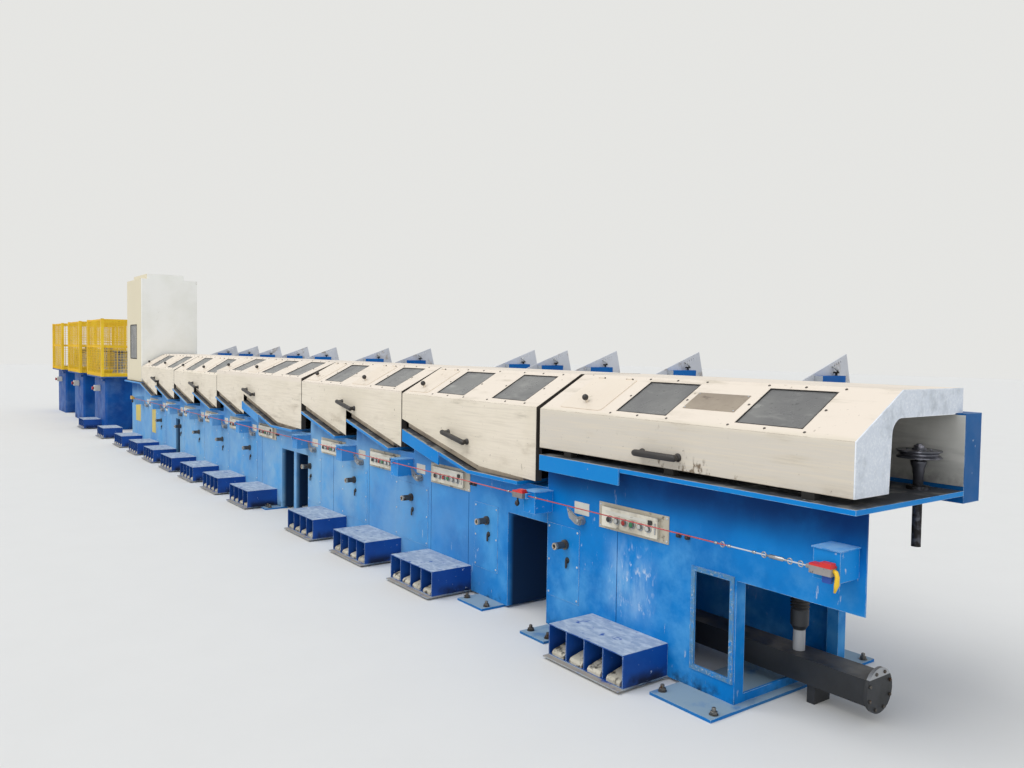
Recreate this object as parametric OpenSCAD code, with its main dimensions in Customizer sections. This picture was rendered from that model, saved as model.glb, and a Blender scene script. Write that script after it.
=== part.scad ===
// Straight-line wire drawing machine: ten inclined drawing stations under six hinged hoods,
// a tall inlet housing and three caged upright blocks, seen from the operator's side.
// X runs along the line towards the wire outlet, -Y is the operator's side, +Z is up.

/* [Line] */
// Length of one normal drawing station
station_pitch = 955; // [800:5:1200]
// Length of the long sixth and ninth stations
long_pitch = 1615; // [1300:5:2000]
// Length of the last station, with the wire outlet
outlet_len = 2000; // [1800:5:2400]
// Gap between neighbouring hoods
hood_gap = 12; // [10:1:30]
// Gap before the last hood
outlet_gap = 35; // [20:1:50]

/* [Tables] */
// Height of the level outlet table
outlet_table_z = 1011; // [900:1:1100]
// Height of the raised end of each inclined table
table_high_z = 1018; // [940:1:1060]
// Slope of the inclined tables in degrees
table_slope = 12.5; // [11:0.5:13]
// Length of the slope at the long stations
long_slope = 850; // [750:5:860]
// Thickness of the table plates
table_t = 22; // [12:1:40]
// Depth that the tables overhang the base front
table_overhang = 98; // [40:1:150]
// Distance from the base front to the rear wall
table_depth = 735; // [600:5:900]
// Height of the stiffener strips on the table edge
strip_h = 86; // [40:1:120]

/* [Base] */
// Full depth of the base
base_depth = 870; // [800:5:1000]
// Thickness of the outlet unit's sheets
base_t = 6; // [4:1:12]
// Height of the open gaps between the base modules
gap_h = 600; // [400:5:620]
// Thickness of the foot plates
foot_t = 15; // [8:1:25]
// Length of a foot plate along the line
foot_w = 118; // [90:2:118]
// Radius of the anchor holes in the foot plates
anchor_r = 11; // [6:0.5:16]

/* [Hoods] */
// Distance that the hood front stands before the base front
hood_front = 50; // [20:1:80]
// Height of the fold between the hood front and its sloped facet
shoulder_z = 1268; // [1220:1:1300]
// Height of the flat hood top
ridge_z = 1460; // [1380:1:1500]
// Distance from the base front to the front edge of the flat top
ridge_y = 285; // [220:1:400]
// Distance from the base front to the rear edge of the hood
hood_back = 780; // [770:1:800]
// Thickness of the hood sheets
hood_t = 4; // [3:0.5:8]
// Seating gap between closed parts
seat_gap = 0.3; // [0.2:0.1:1]
// Height of the level outlet hood above its table
outlet_hood_lift = 31; // [20:1:60]
// Height of the inclined hoods above their tables
hood_lift = 60; // [40:1:80]

/* [Windows and hatches] */
// Length of a window pane along the line
window_w = 350; // [250:5:420]
// Distance of the lower window edge from the fold, along the facet
window_low = 50; // [40:1:80]
// Height of a window along the facet
window_h = 295; // [200:5:300]
// Length of a hatch along the line
hatch_w = 290; // [200:5:320]
// Length of the last hood's hatch
outlet_hatch_w = 345; // [250:5:400]
// Distance of the lower hatch edge from the fold, along the facet
hatch_low = 35; // [20:1:40]
// Height of a hatch along the facet
hatch_h = 310; // [250:5:315]
// Radius of the ball knobs
knob_r = 17; // [10:1:25]

/* [Blocks] */
// Radius of the drawing blocks
block_r = 215; // [150:5:250]
// Height of the drawing blocks
block_h = 170; // [120:5:180]
// Radius of the outlet sheave
sheave_r = 94; // [60:1:120]
// Radius of the sheave's pin
sheave_pin_r = 12; // [8:0.5:20]

/* [Operator's side] */
// Height of the control boxes' lower edge
control_z = 662; // [640:1:700]
// Length of a control box plate
control_w = 500; // [440:2:520]
// Height of a control box plate
control_h = 138; // [120:1:150]
// Distance between push buttons
button_pitch = 56; // [45:1:60]
// Height of the pull rope
rope_z = 773; // [755:1:785]
// Height of the crank stubs
crank_z = 510; // [450:1:560]

/* [Pedals] */
// Length of a pedal box
pedal_w = 553; // [450:1:600]
// Depth of a pedal box
pedal_d = 300; // [250:1:340]
// Height of a pedal box above its feet
pedal_h = 167; // [140:1:200]
// Sheet thickness of a pedal box
pedal_t = 5; // [4:1:8]
// Height of a pedal box's feet
pedal_foot = 12; // [8:1:30]

/* [Inlet] */
// Length of the tall inlet housing
housing_w = 980; // [800:5:1100]
// Depth of the tall inlet housing
housing_d = 840; // [700:5:900]
// Height of the tall inlet housing
housing_h = 1585; // [1300:5:1800]
// Distance between the caged upright blocks
upright_pitch = 2350; // [1800:10:2600]
// Length of an upright block's base
upright_w = 1100; // [900:10:1300]
// Depth of an upright block's base
upright_d = 1160; // [900:10:1250]
// Height of an upright block's base
upright_h = 1000; // [900:5:1100]
// Height of a cage
cage_h = 1065; // [800:5:1300]
// Length of a cage
cage_w = 1460; // [1300:10:1600]
// Depth of a cage
cage_d = 1360; // [1200:10:1500]
// Distance between the upright bars of a cage
cage_bar_pitch = 145; // [100:5:300]

/* [Hidden] */
$fn = 48;

// Station lengths from the inlet to the outlet, and the place where each station starts
station_lens = [
    station_pitch, station_pitch, station_pitch, station_pitch, station_pitch, long_pitch,
    station_pitch, station_pitch, long_pitch, outlet_len
];
OUTLET = 9;
function sum_from(list, i) = i >= len(list) ? 0 : list[i] + sum_from(list, i + 1);
function station_x(i) = -sum_from(station_lens, i);
function is_long(i) = station_lens[i] > station_pitch && i < OUTLET;

// First and last station of each hood
hood_spans = [[0, 1], [2, 3], [4, 5], [6, 7], [8, 8], [9, 9]];
// Height of each hood's fold against the common one
fold_raise = [-6, -16, 42, 16, 2, -3];
// First and last station of each base module before the outlet unit
module_spans = [[0, 1], [2, 5], [6, 8]];
// Distance from a station's start to the base module's left edge there
module_inset = [-885, 105, 40, 51];
// Open length after each module
module_gap = [205, 655, 387];

// The tables start after the hoods' left edges and end before their right ones
table_start = 110;
table_end = -120;
near_table_x = 30;
slope_rate = tan(table_slope);
slope_run = station_pitch - table_start + table_end;
table_low_z = table_high_z - slope_run * slope_rate;
long_low_z = table_high_z - long_slope * slope_rate;

// Overall box, which sets the origin at the middle of the floor outline
housing_gap = 35;
housing_right = station_x(0) - housing_gap;
housing_left = housing_right - housing_w;
upright_run = 3685;
upright_first = station_x(0) - upright_run;
cage_front = -100;
pedal_lip = 35;
pedal_clear = seat_gap;
line_left = upright_first - 2 * upright_pitch - cage_w / 2;
line_front = -pedal_d - pedal_clear - pedal_lip;
lift_back = 1330;
line_back = max(lift_back, cage_front + cage_d);
shift_x = -(line_left + near_table_x) / 2;
shift_y = -(line_front + line_back) / 2;

// Profiles: a polygon of [y, z] points carried along X, or of [x, z] points along Y
module along_x(x0, x1) {
    translate([x0, 0, 0]) rotate([90, 0, 90]) linear_extrude(x1 - x0) children();
}
module along_y(y0, y1) {
    translate([0, y1, 0]) rotate([90, 0, 0]) linear_extrude(y1 - y0) children();
}
module box(x0, x1, y0, y1, z0, z1) {
    translate([x0, y0, z0]) cube([x1 - x0, y1 - y0, z1 - z0]);
}
module round_y(r, y0, y1) {
    translate([0, y1, 0]) rotate([90, 0, 0]) cylinder(r = r, h = y1 - y0);
}
module round_x(r, x0, x1) {
    translate([x0, 0, 0]) rotate([0, 90, 0]) cylinder(r = r, h = x1 - x0);
}
module placed() {
    translate([shift_x, shift_y, 0]) children();
}

// A ring of points moved inwards by d; the ring turns anticlockwise
function unit(v) = v / norm(v);
function left_of(v) = [-v[1], v[0]];
function cross2(a, b) = a[0] * b[1] - a[1] * b[0];
function line_meet(p, u, q, v) = p + u * (cross2(q - p, v) / cross2(u, v));
function inset_ring(pts, d) = [
    for (i = [0 : len(pts) - 1])
        let (a = pts[(i + len(pts) - 1) % len(pts)], b = pts[i], c = pts[(i + 1) % len(pts)])
        let (u = unit(b - a), v = unit(c - b))
        line_meet(b + left_of(u) * d, u, b + left_of(v) * d, v)
];

// Tables: the height of the top face of station i at its corner points
function table_points(i) = i == OUTLET
    ? [[station_x(i) + table_start - 12, outlet_table_z], [near_table_x, outlet_table_z]]
    : is_long(i)
    ? [
        [station_x(i) + table_start, table_high_z],
        [station_x(i) + table_start + long_slope, long_low_z],
        [station_x(i + 1) + table_end, long_low_z]
    ]
    : [
        [station_x(i) + table_start, table_high_z],
        [station_x(i + 1) + table_end, table_low_z]
    ];
function lowered(pts, d) = [for (p = pts) [p[0], p[1] - d]];
function reversed(pts) = [for (i = [len(pts) - 1 : -1 : 0]) pts[i]];
function strip_ring(pts, t) = concat(lowered(pts, t), reversed(pts));
housing_table_x = housing_left + 30;
housing_table_z = 1022;

// Base modules: closed boxes under the tables' sawtooth, over open gaps at the module ends
module_joint = 2;
gap_post_w = 60;
base_step_z = min(table_low_z, long_low_z) - table_t;
riser_gap = 12;
function module_left(m) = station_x(m > 2 ? OUTLET : module_spans[m][0]) + module_inset[m];
function module_end(m) = module_left(m + 1) - module_joint;
function module_right(m) = module_left(m + 1) - module_gap[m];
module under_tables() {
    // Under each table its own slope, then level to the riser below the next table's start
    tops = [for (i = [0 : OUTLET - 1]) for (p = concat(table_points(i),
        [[station_x(i + 1) + table_start - riser_gap, is_long(i) ? long_low_z : table_low_z]]))
            [p[0], p[1] - table_t]];
    polygon(concat(
        [[near_table_x, tops[len(tops) - 1][1]], [near_table_x, foot_t], [housing_table_x, foot_t],
         [housing_table_x, housing_table_z - table_t],
         [tops[0][0] - module_joint, housing_table_z - table_t]],
        tops
    ));
}
module module_elevation(m) {
    difference() {
        intersection() {
            under_tables();
            translate([module_left(m), 0]) square([module_end(m) - module_left(m), table_high_z]);
        }
        translate([module_right(m), 0]) square([module_gap[m], gap_h]);
    }
}
module base_frames() {
    color("#0069bf") placed() for (m = [0 : 2]) {
        along_y(0, table_depth) module_elevation(m);
        box(module_left(m), module_right(m), table_depth - 1, base_depth, foot_t, base_step_z);
        if (m == 1) {
            middle = (module_right(m) + module_end(m) - gap_post_w) / 2;
            box(middle, middle + gap_post_w, base_t, base_t + gap_post_w, foot_t, gap_h + 1);
        }
    }
}

// Outlet unit: front plate with apron and access opening, posts, side and rear plates
near_left = station_x(OUTLET) + module_inset[3];
near_right = -593;
post_w = 64;
rim_w = 22;
rim_t = 6;
apron_z = 581;
apron_right = 23;
access = [-832, -626, 128, 574];
rear_rail_z = 955;
near_top = outlet_table_z - table_t;
channel_h = 80;
channel_w = 50;
post_t = 12;
rail_h = 40;
module near_frame() {
    color("#0071c8") placed() {
        difference() {
            union() {
                along_y(0, base_t) polygon([
                    [near_left, foot_t], [near_right, foot_t], [near_right, apron_z],
                    [apron_right, apron_z], [apron_right, near_top], [near_left, near_top]
                ]);
                // Rim of flat bar round the access opening
                box(access[0] - rim_w, access[1] + rim_w, -rim_t, 1,
                    access[2] - rim_w, access[3] + rim_w);
                box(near_left, near_left + base_t, 0, base_depth, foot_t, rear_rail_z);
                box(near_left, near_left + base_t, 0, table_depth, foot_t, near_top);
                box(near_left, near_right, base_depth - base_t, base_depth, foot_t, rear_rail_z);
                // Front and rear posts at the open side
                box(near_right - post_t, near_right, 0, post_w, foot_t, near_top);
                box(near_right - post_w, near_right, base_depth - post_w, base_depth, foot_t,
                    rear_rail_z);
                // Bottom rail between the posts and cross channels under the table
                box(near_right - post_t, near_right, post_w - 1, base_depth - post_w + 1, foot_t,
                    foot_t + rail_h);
                for (x = [near_left + 300, near_right - channel_w])
                    box(x, x + channel_w, base_t - 1, table_depth, near_top - channel_h, near_top);
                box(near_left, near_right, table_depth - channel_w, table_depth,
                    near_top - channel_h, near_top);
            }
            box(access[0], access[1], -rim_t - 1, post_w / 2, access[2], access[3]);
        }
    }
}

// Foot plates with anchor holes before and behind the base, clear of the pedal boxes;
// the outlet unit stands on two long ones that run through from front to rear
foot_out = [165, 165, 165, 205];
foot_in = 60;
hole_in = 30;
hole_out = 55;
wide_foot = 278;
// Offsets of the foot plates from each module's ends
foot_insets = [[8, 700], [40, 4], [60, 36]];
function last_foot_w(m) = m == 2 ? wide_foot : foot_w;
function foot_spans(m) = m == 3
    ? [[near_left + 20, near_left + 235], [near_right - 323, near_right + 43]]
    : [
        [module_left(m) + foot_insets[m][0], module_left(m) + foot_insets[m][0] + foot_w],
        [module_right(m) - foot_insets[m][1] - last_foot_w(m), module_right(m) - foot_insets[m][1]]
    ];
module foot_holes(m, span) {
    for (x = [span[0] + hole_in, span[1] - hole_in])
        for (y = [-foot_out[m] + hole_out, base_depth + foot_out[m] - hole_out])
            translate([x, y, -1]) cylinder(r = anchor_r, h = foot_t + 2);
}
module foot_plates() {
    color("#0b63ad") placed() for (m = [0 : 3]) for (span = foot_spans(m)) difference() {
        if (m == 3) box(span[0], span[1], -foot_out[m], base_depth + foot_out[m], 0, foot_t);
        else for (y = [-foot_out[m], base_depth - foot_in])
            box(span[0], span[1], y, y + foot_out[m] + foot_in, 0, foot_t);
        foot_holes(m, span);
    }
}

// Table plates; stiffener strips on the front edge at the sixth, ninth and last stations
strip_len = 645;
strip_t = 8;
function strip_of(i) = let (p = table_points(i))
    let (dir = unit(p[1] - p[0]), run = min(strip_len, norm(p[1] - p[0]) - 10))
    i == OUTLET ? [p[0], p[0] + dir * run] : [p[0], p[0] + dir * run * 0.8];
module work_tables() {
    color("#1273c4") placed() {
        for (i = [0 : OUTLET]) {
            along_y(-table_overhang, table_depth) polygon(strip_ring(table_points(i), table_t));
            if (is_long(i) || i == OUTLET)
                along_y(-table_overhang - strip_t, -table_overhang)
                    polygon(strip_ring(strip_of(i), strip_h));
        }
        box(housing_table_x, station_x(0) + table_start - 20, -table_overhang, table_depth,
            housing_table_z - table_t, housing_table_z);
    }
}

// Hood outlines: the lower edge follows the tables, the cross-section has a sloped front facet
function hood_left(k) = station_x(hood_spans[k][0]) + (k == 5 ? outlet_gap - hood_gap / 2 : hood_gap / 2);
function hood_right(k) = k == 5 ? -7 : station_x(hood_spans[k][1] + 1) - hood_gap / 2;
// The lower edge of station i's part of a hood; the long ones end almost level
edge_drop = 18;
long_lifts = [28, 11];
function edge_high() = table_high_z + hood_lift - edge_drop + table_start * slope_rate;
function edge_points(i) = i == OUTLET
    ? [[station_x(i), outlet_table_z + outlet_hood_lift], [0, outlet_table_z + outlet_hood_lift]]
    : let (x0 = station_x(i), z0 = edge_high(), x1 = station_x(i + 1))
      is_long(i)
      ? [[x0, z0], [x0 + (z0 - long_low_z - long_lifts[0]) / slope_rate, long_low_z + long_lifts[0]],
         [x1, long_low_z + long_lifts[1]]]
      : [[x0, z0], [x1, z0 - (x1 - x0) * slope_rate]];
sky_z = 1800;
function hood_elevation(k) = concat(
    [for (i = [hood_spans[k][0] : hood_spans[k][1]]) for (p = edge_points(i)) p],
    [[station_x(hood_spans[k][1] + 1), sky_z], [station_x(hood_spans[k][0]), sky_z]]
);
function fold_z(k) = shoulder_z + fold_raise[k];
lip_z = 1350;
lip_bottom = lip_z + seat_gap;
deep_z = 500;
function hood_profile(k) = [
    [-hood_front, deep_z], [hood_back, deep_z], [hood_back, ridge_z], [ridge_y, ridge_z],
    [-hood_front, fold_z(k)]
];
// Facet frame: origin on the fold, first axis along X, second up the slope, third outwards
function facet_angle(k) = atan2(ridge_z - fold_z(k), ridge_y + hood_front);
module on_facet(k) {
    translate([0, -hood_front, fold_z(k)]) rotate([facet_angle(k), 0, 0]) children();
}
// Offsets of the windows and the hatch from a station's start
window_at = 420;
second_window_at = 1090;
hatch_at = 30;
outlet_hatch_at = 160;
outlet_windows = [612, 1377];
function windows_of(i) = i == OUTLET
    ? [for (dx = outlet_windows) station_x(i) + dx]
    : is_long(i)
    ? [station_x(i) + window_at, station_x(i) + second_window_at]
    : [station_x(i) + window_at];
function hatch_x(i) = station_x(i) + (i == OUTLET ? outlet_hatch_at : hatch_at);
function hatch_len(i) = i == OUTLET ? outlet_hatch_w : hatch_w;
function hood_of(i) = i < 2 ? 0 : i < 4 ? 1 : i < 6 ? 2 : i < 8 ? 3 : i < 9 ? 4 : 5;

// End plates: a ring at the joints between hoods, a cut-out for the wire at the outlet
end_ring = 45;
outlet_leg_top = 205;
outlet_leg_low = 170;
outlet_head = 115;
outlet_round = 70;
module ring_cut(k) {
    p = inset_ring(hood_profile(k), end_ring);
    polygon([p[0], [hood_back - 10, deep_z], [hood_back - 10, p[2][1]], p[2], p[3], p[4]]);
}
module outlet_cut() {
    z = ridge_z - outlet_head;
    // The corner over the wire is rounded: a circle meets the two straight edges
    union() {
        polygon([
            [outlet_leg_low, deep_z], [hood_back - 10, deep_z], [hood_back - 10, z],
            [outlet_leg_top + outlet_round, z], [outlet_leg_top, z - outlet_round]
        ]);
        translate([outlet_leg_top + outlet_round, z - outlet_round]) circle(r = outlet_round);
    }
}

// Bow handle: a bent rod on the hood front, with its two feet on the sheet
handle_len = 262;
handle_r = 14;
handle_out = 42;
// Place of each hood's handle: distance from the left edge of the hood and height
handle_places = [[955, 1098], [1035, 1102], [1180, 1118], [995, 1127], [765, 1020], [970, 1102]];
handle_tilt = [10, 10, 10, 10, 10, 0];
module hood_handle(k) {
    place = handle_places[k];
    translate([station_x(hood_spans[k][0]) + place[0], -hood_front, place[1]])
        rotate([0, handle_tilt[k], 0]) {
            translate([0, -handle_out, 0]) round_x(handle_r, -handle_len / 2, handle_len / 2);
            for (s = [-1, 1]) translate([s * (handle_len / 2 - handle_r), 0, 0]) {
                round_y(handle_r, -handle_out, 0.5);
                translate([0, -handle_out, 0]) sphere(r = handle_r);
            }
        }
}

// Hinges: two pins to a hood on the rear wall, and a barrel with its leaf on the hood
hinge_y = 805;
hinge_z = 1368;
pin_r = 6;
pin_clear = 0.05;
barrel_r = 12;
barrel_len = 90;
lug_t = 14;
lug_gap = 1;
lug_d = 26;
hinge_in = 300;
function hinge_places(k) = [hood_left(k) + hinge_in, hood_right(k) - hinge_in];
module hinge_lugs(x) {
    half = barrel_len / 2 + lug_gap;
    for (s = [-1, 1]) translate([x + s * (half + lug_t / 2), 0, 0]) {
        translate([-lug_t / 2, hinge_y - lug_d / 2, lip_z]) cube([lug_t, lug_d, hinge_z - lip_z]);
        translate([0, hinge_y, hinge_z]) round_x(lug_d / 2, -lug_t / 2, lug_t / 2);
    }
    translate([x, hinge_y, hinge_z]) round_x(pin_r, -half - lug_t / 2, half + lug_t / 2);
}
module hinge_barrel(x) {
    translate([x, hinge_y, hinge_z]) round_x(barrel_r, -barrel_len / 2, barrel_len / 2);
    box(x - barrel_len / 2, x + barrel_len / 2, hood_back - 1, hinge_y, hinge_z - hood_t / 2,
        hinge_z + hood_t / 2);
}
module hinge_bore(x) {
    translate([x, hinge_y, hinge_z])
        round_x(pin_r + pin_clear, -barrel_len / 2 - 1, barrel_len / 2 + 1);
}
module hood_hinges() {
    color("#6d7376") placed()
        for (k = [0 : 5]) for (x = hinge_places(k)) hinge_lugs(x);
}

// A hood: folded shell, end plates, cut to its elevation, with window and hatch openings
pane_lap = 12;
pane_t = 3;
hatch_hole_in = 30;
module hood(k) {
    color("#dcd2bb") placed() difference() {
        union() {
            intersection() {
                union() {
                    along_x(hood_left(k), hood_right(k)) difference() {
                        polygon(hood_profile(k));
                        polygon(inset_ring(hood_profile(k), hood_t));
                        translate([hood_back - hood_t - 1, 0]) square([hood_t + 2, lip_bottom]);
                    }
                    along_x(hood_left(k), hood_left(k) + hood_t) difference() {
                        polygon(hood_profile(k));
                        ring_cut(k);
                        translate([hood_back - end_ring - 20, 0]) square([200, lip_bottom]);
                    }
                    along_x(hood_right(k) - hood_t, hood_right(k)) difference() {
                        polygon(hood_profile(k));
                        if (k == 5) outlet_cut();
                        else ring_cut(k);
                        translate([hood_back - end_ring - 20, 0]) square([200, lip_bottom]);
                    }
                }
                along_y(-hood_front - 1, hood_back + 1) polygon(hood_elevation(k));
            }
            hood_handle(k);
            for (x = hinge_places(k)) hinge_barrel(x);
            for (i = [hood_spans[k][0] : hood_spans[k][1]]) for (x = hatch_hinges(i))
                on_facet(k) translate([hatch_x(i) + x, hatch_low, 0]) hatch_lugs();
        }
        for (x = hinge_places(k)) hinge_bore(x);
        for (i = [hood_spans[k][0] : hood_spans[k][1]]) {
            for (x = windows_of(i)) on_facet(k)
                translate([x, window_low, -20]) cube([window_w, window_h, 40]);
            on_facet(k) translate([hatch_x(i) + hatch_hole_in, hatch_low + hatch_hole_in, -20])
                cube([hatch_len(i) - 2 * hatch_hole_in, hatch_h - 2 * hatch_hole_in, 40]);
        }
    }
}
module windows(k) {
    color("#6b6d6b") placed()
        for (i = [hood_spans[k][0] : hood_spans[k][1]]) for (x = windows_of(i)) on_facet(k)
            translate([x - pane_lap, window_low - pane_lap, -hood_t - pane_t - seat_gap])
                cube([window_w + 2 * pane_lap, window_h + 2 * pane_lap, pane_t]);
}

// A hatch lies on the facet and hinges at its upper edge; its ball knob is near the lower edge
hatch_t = 4;
hatch_round = 24;
knob_up = 70;
knob_stem = 14;
hatch_pin_r = 3;
hatch_barrel_r = 5;
hatch_barrel_len = 36;
hatch_lug_t = 5;
hatch_hinge_in = 60;
hatch_axis_up = hatch_h + 6;
hatch_axis_out = hatch_barrel_r + seat_gap;
// Lugs and pin of a hatch hinge on the hood, and the barrel on the hatch
module hatch_lugs() {
    half = hatch_barrel_len / 2 + 1;
    translate([0, hatch_axis_up, hatch_axis_out]) {
        for (s = [-1, 1]) translate([s * (half + hatch_lug_t / 2), 0, 0]) {
            round_x(hatch_barrel_r, -hatch_lug_t / 2, hatch_lug_t / 2);
            translate([-hatch_lug_t / 2, -hatch_barrel_r, -hatch_axis_out - 1])
                cube([hatch_lug_t, 2 * hatch_barrel_r, hatch_axis_out + 1]);
        }
        round_x(hatch_pin_r, -half - 1, half + 1);
    }
}
function hatch_hinges(i) = [hatch_hinge_in, hatch_len(i) - hatch_hinge_in];
module hatch(i) {
    k = hood_of(i);
    w = hatch_len(i);
    color("#e4dcc9") placed() on_facet(k) translate([hatch_x(i), hatch_low, 0]) difference() {
        union() {
            translate([0, 0, seat_gap]) linear_extrude(hatch_t) union() {
                translate([0, hatch_round]) square([w, hatch_h - hatch_round]);
                translate([hatch_round, 0]) square([w - 2 * hatch_round, hatch_round + 1]);
                for (x = [hatch_round, w - hatch_round]) translate([x, hatch_round])
                    circle(r = hatch_round);
            }
            translate([w / 2, knob_up, seat_gap]) {
                cylinder(r = knob_r / 2, h = hatch_t + knob_stem);
                translate([0, 0, hatch_t + knob_stem + knob_r * 0.8]) sphere(r = knob_r);
            }
            for (x = hatch_hinges(i)) translate([x, 0, 0]) {
                translate([-hatch_barrel_len / 2, hatch_h - 1, seat_gap])
                    cube([hatch_barrel_len, hatch_axis_up - hatch_h + 1, hatch_t]);
                translate([0, hatch_axis_up, hatch_axis_out])
                    round_x(hatch_barrel_r, -hatch_barrel_len / 2, hatch_barrel_len / 2);
            }
        }
        translate([0, hatch_axis_up, hatch_axis_out])
            for (x = hatch_hinges(i)) round_x(hatch_pin_r + pin_clear,
                x - hatch_barrel_len / 2 - 1, x + hatch_barrel_len / 2 + 1);
    }
}

// Rests on the tables: a T-shaped coaming under the inclined hoods, pads at the outlet
coaming_h = 27;
coaming_w = 40;
coaming_web = 8;
rest_places = [-1750, -1000, -240];
rest_w = 60;
module table_coamings() {
    color("#8a7f6c") placed() {
        for (i = [0 : OUTLET - 1]) intersection() {
            e = edge_points(i);
            x0 = station_x(i) + table_start + 2;
            x1 = station_x(i + 1) + table_end - 2;
            union() {
                along_y(-hood_front - 2, -hood_front + coaming_w)
                    polygon(strip_ring(lowered(e, seat_gap), coaming_h));
                along_y(-hood_front + coaming_w - coaming_web, -hood_front + coaming_w)
                    polygon(strip_ring(lowered(e, seat_gap), 90));
            }
            difference() {
                along_y(-hood_front - 3, -hood_front + coaming_w + 1)
                    polygon([[x0, deep_z], [x1, deep_z], [x1, sky_z], [x0, sky_z]]);
                along_y(-hood_front - 4, -hood_front + coaming_w + 2)
                    polygon(concat(table_points(i),
                        [[x1 + 99, is_long(i) ? long_low_z : table_low_z], [x1 + 99, 0],
                         [station_x(i), 0], [station_x(i), table_high_z]]));
            }
        }
        for (x = rest_places) box(x, x + rest_w, -hood_front - 2, -hood_front + coaming_w,
            outlet_table_z, outlet_table_z + outlet_hood_lift - seat_gap);
    }
}

// Rear wall: a channel behind the tables with a flange on top, one length to a hood
wall_t = 6;
wall_flange = 142;
wall_gap = 2;
inclined_wall_z = base_step_z;
function wall_low(k) = k == 5 ? rear_rail_z : inclined_wall_z;
function wall_left(k) = k == 0 ? housing_right + 10 : station_x(hood_spans[k][0]) + wall_gap;
function wall_right(k) = k == 5 ? near_table_x : station_x(hood_spans[k][1] + 1) - wall_gap;
module rear_wall() {
    color("#0e66b5") placed() for (k = [0 : 5])
        along_x(wall_left(k), wall_right(k)) polygon([
            [table_depth, wall_low(k)], [table_depth + wall_flange, wall_low(k)],
            [table_depth + wall_flange, wall_low(k) + 50],
            [table_depth + wall_flange - wall_t, wall_low(k) + 50],
            [table_depth + wall_flange - wall_t, wall_low(k) + wall_t],
            [table_depth + wall_t, wall_low(k) + wall_t],
            [table_depth + wall_t, lip_z - wall_t],
            [table_depth + wall_flange - wall_t, lip_z - wall_t],
            [table_depth + wall_flange - wall_t, lip_z - 50],
            [table_depth + wall_flange, lip_z - 50],
            [table_depth + wall_flange, lip_z], [table_depth, lip_z]
        ]);
    // Closed end at the outlet
    color("#0e66b5") placed() box(near_table_x - wall_t, near_table_x, table_depth,
        table_depth + wall_flange, rear_rail_z, lip_z);
}
// Pale liner sheets on the inner face of the rear wall
liner_t = 3;
liner_low = 1030;
module wall_liner() {
    color("#e3e1da") placed() for (k = [0 : 5])
        box(max(wall_left(k), station_x(0)) + 2, wall_right(k) - 2, table_depth - liner_t,
            table_depth, liner_low, lip_z - 8);
}

// Drawing blocks stand square on the inclined tables, each after its die box
block_y = 400;
function block_x(i) = station_x(i) + (i == OUTLET ? 1080 : is_long(i) ? 640 : 600);
function deck_z(i, x) = i == OUTLET ? outlet_table_z
    : table_high_z - (x - station_x(i) - table_start) * slope_rate;
function deck_tilt(i) = i == OUTLET ? 0 : table_slope;
block_foot = 18;
rim = 14;
module on_deck(i, x, y) {
    translate([x, y, deck_z(i, x) + seat_gap]) rotate([0, deck_tilt(i), 0]) children();
}
module drawing_block() {
    rotate_extrude() polygon([
        [0, 0], [block_r - 30, 0], [block_r - 30, block_foot], [block_r, block_foot],
        [block_r, block_foot + rim], [block_r - 18, block_foot + rim + 24],
        [block_r - 26, block_h - 20], [block_r - 12, block_h - 8], [block_r - 12, block_h],
        [60, block_h], [60, block_h + 22], [0, block_h + 22]
    ]);
}
module drawing_blocks() {
    color("#9b9c9c") placed() for (i = [0 : OUTLET])
        on_deck(i, block_x(i), block_y) drawing_block();
}
die_w = 90;
die_d = 120;
die_h = 110;
die_r = 12;
module die_boxes() {
    color("#5d6062") placed() for (i = [0 : OUTLET])
        on_deck(i, block_x(i) - block_r - 60 - die_w, block_y - block_r) difference() {
            translate([0, -die_d / 2, 0]) cube([die_w, die_d, die_h]);
            translate([0, 0, die_h - 35]) round_x(die_r, -1, die_w + 1);
            translate([20, -die_d / 2 + 15, die_h - 12]) cube([die_w - 40, die_d - 30, 20]);
        }
}

// Outlet sheave: grooved wheel between two flanges on a post with a flanged foot, and the
// lower end of its shaft under the table
sheave_x = -110;
sheave_y = 615;
sheave_z = 1168;
sheave_half = 17;
groove = 14;
hub_r = 30;
post_r = 17;
shaft_low = 756;
module exit_sheave() {
    color("#4a4c4e") placed() translate([sheave_x, sheave_y, sheave_z]) difference() {
        rotate_extrude() polygon([
            [0, -sheave_half - 8], [hub_r, -sheave_half - 8], [hub_r, -sheave_half],
            [sheave_r, -sheave_half], [sheave_r, -sheave_half + 5], [sheave_r - groove, -3],
            [sheave_r - groove, 3], [sheave_r, sheave_half - 5], [sheave_r, sheave_half],
            [hub_r, sheave_half], [hub_r, sheave_half + 8], [0, sheave_half + 8]
        ]);
        translate([0, 0, -60]) cylinder(r = sheave_pin_r + pin_clear, h = 120);
    }
}
module sheave_post() {
    color("#55585a") placed() translate([sheave_x, sheave_y, 0]) {
        translate([0, 0, outlet_table_z]) cylinder(r = 48, h = 15);
        translate([0, 0, outlet_table_z])
            cylinder(r = post_r, h = sheave_z - sheave_half - 8.3 - outlet_table_z);
        translate([0, 0, outlet_table_z])
            cylinder(r = sheave_pin_r, h = sheave_z + sheave_half + 26 - outlet_table_z);
        translate([0, 0, sheave_z + sheave_half + 8.3]) cylinder(r = 22, h = 12);
        translate([0, 0, shaft_low]) cylinder(r = 20, h = near_top - shaft_low);
    }
}

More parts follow.
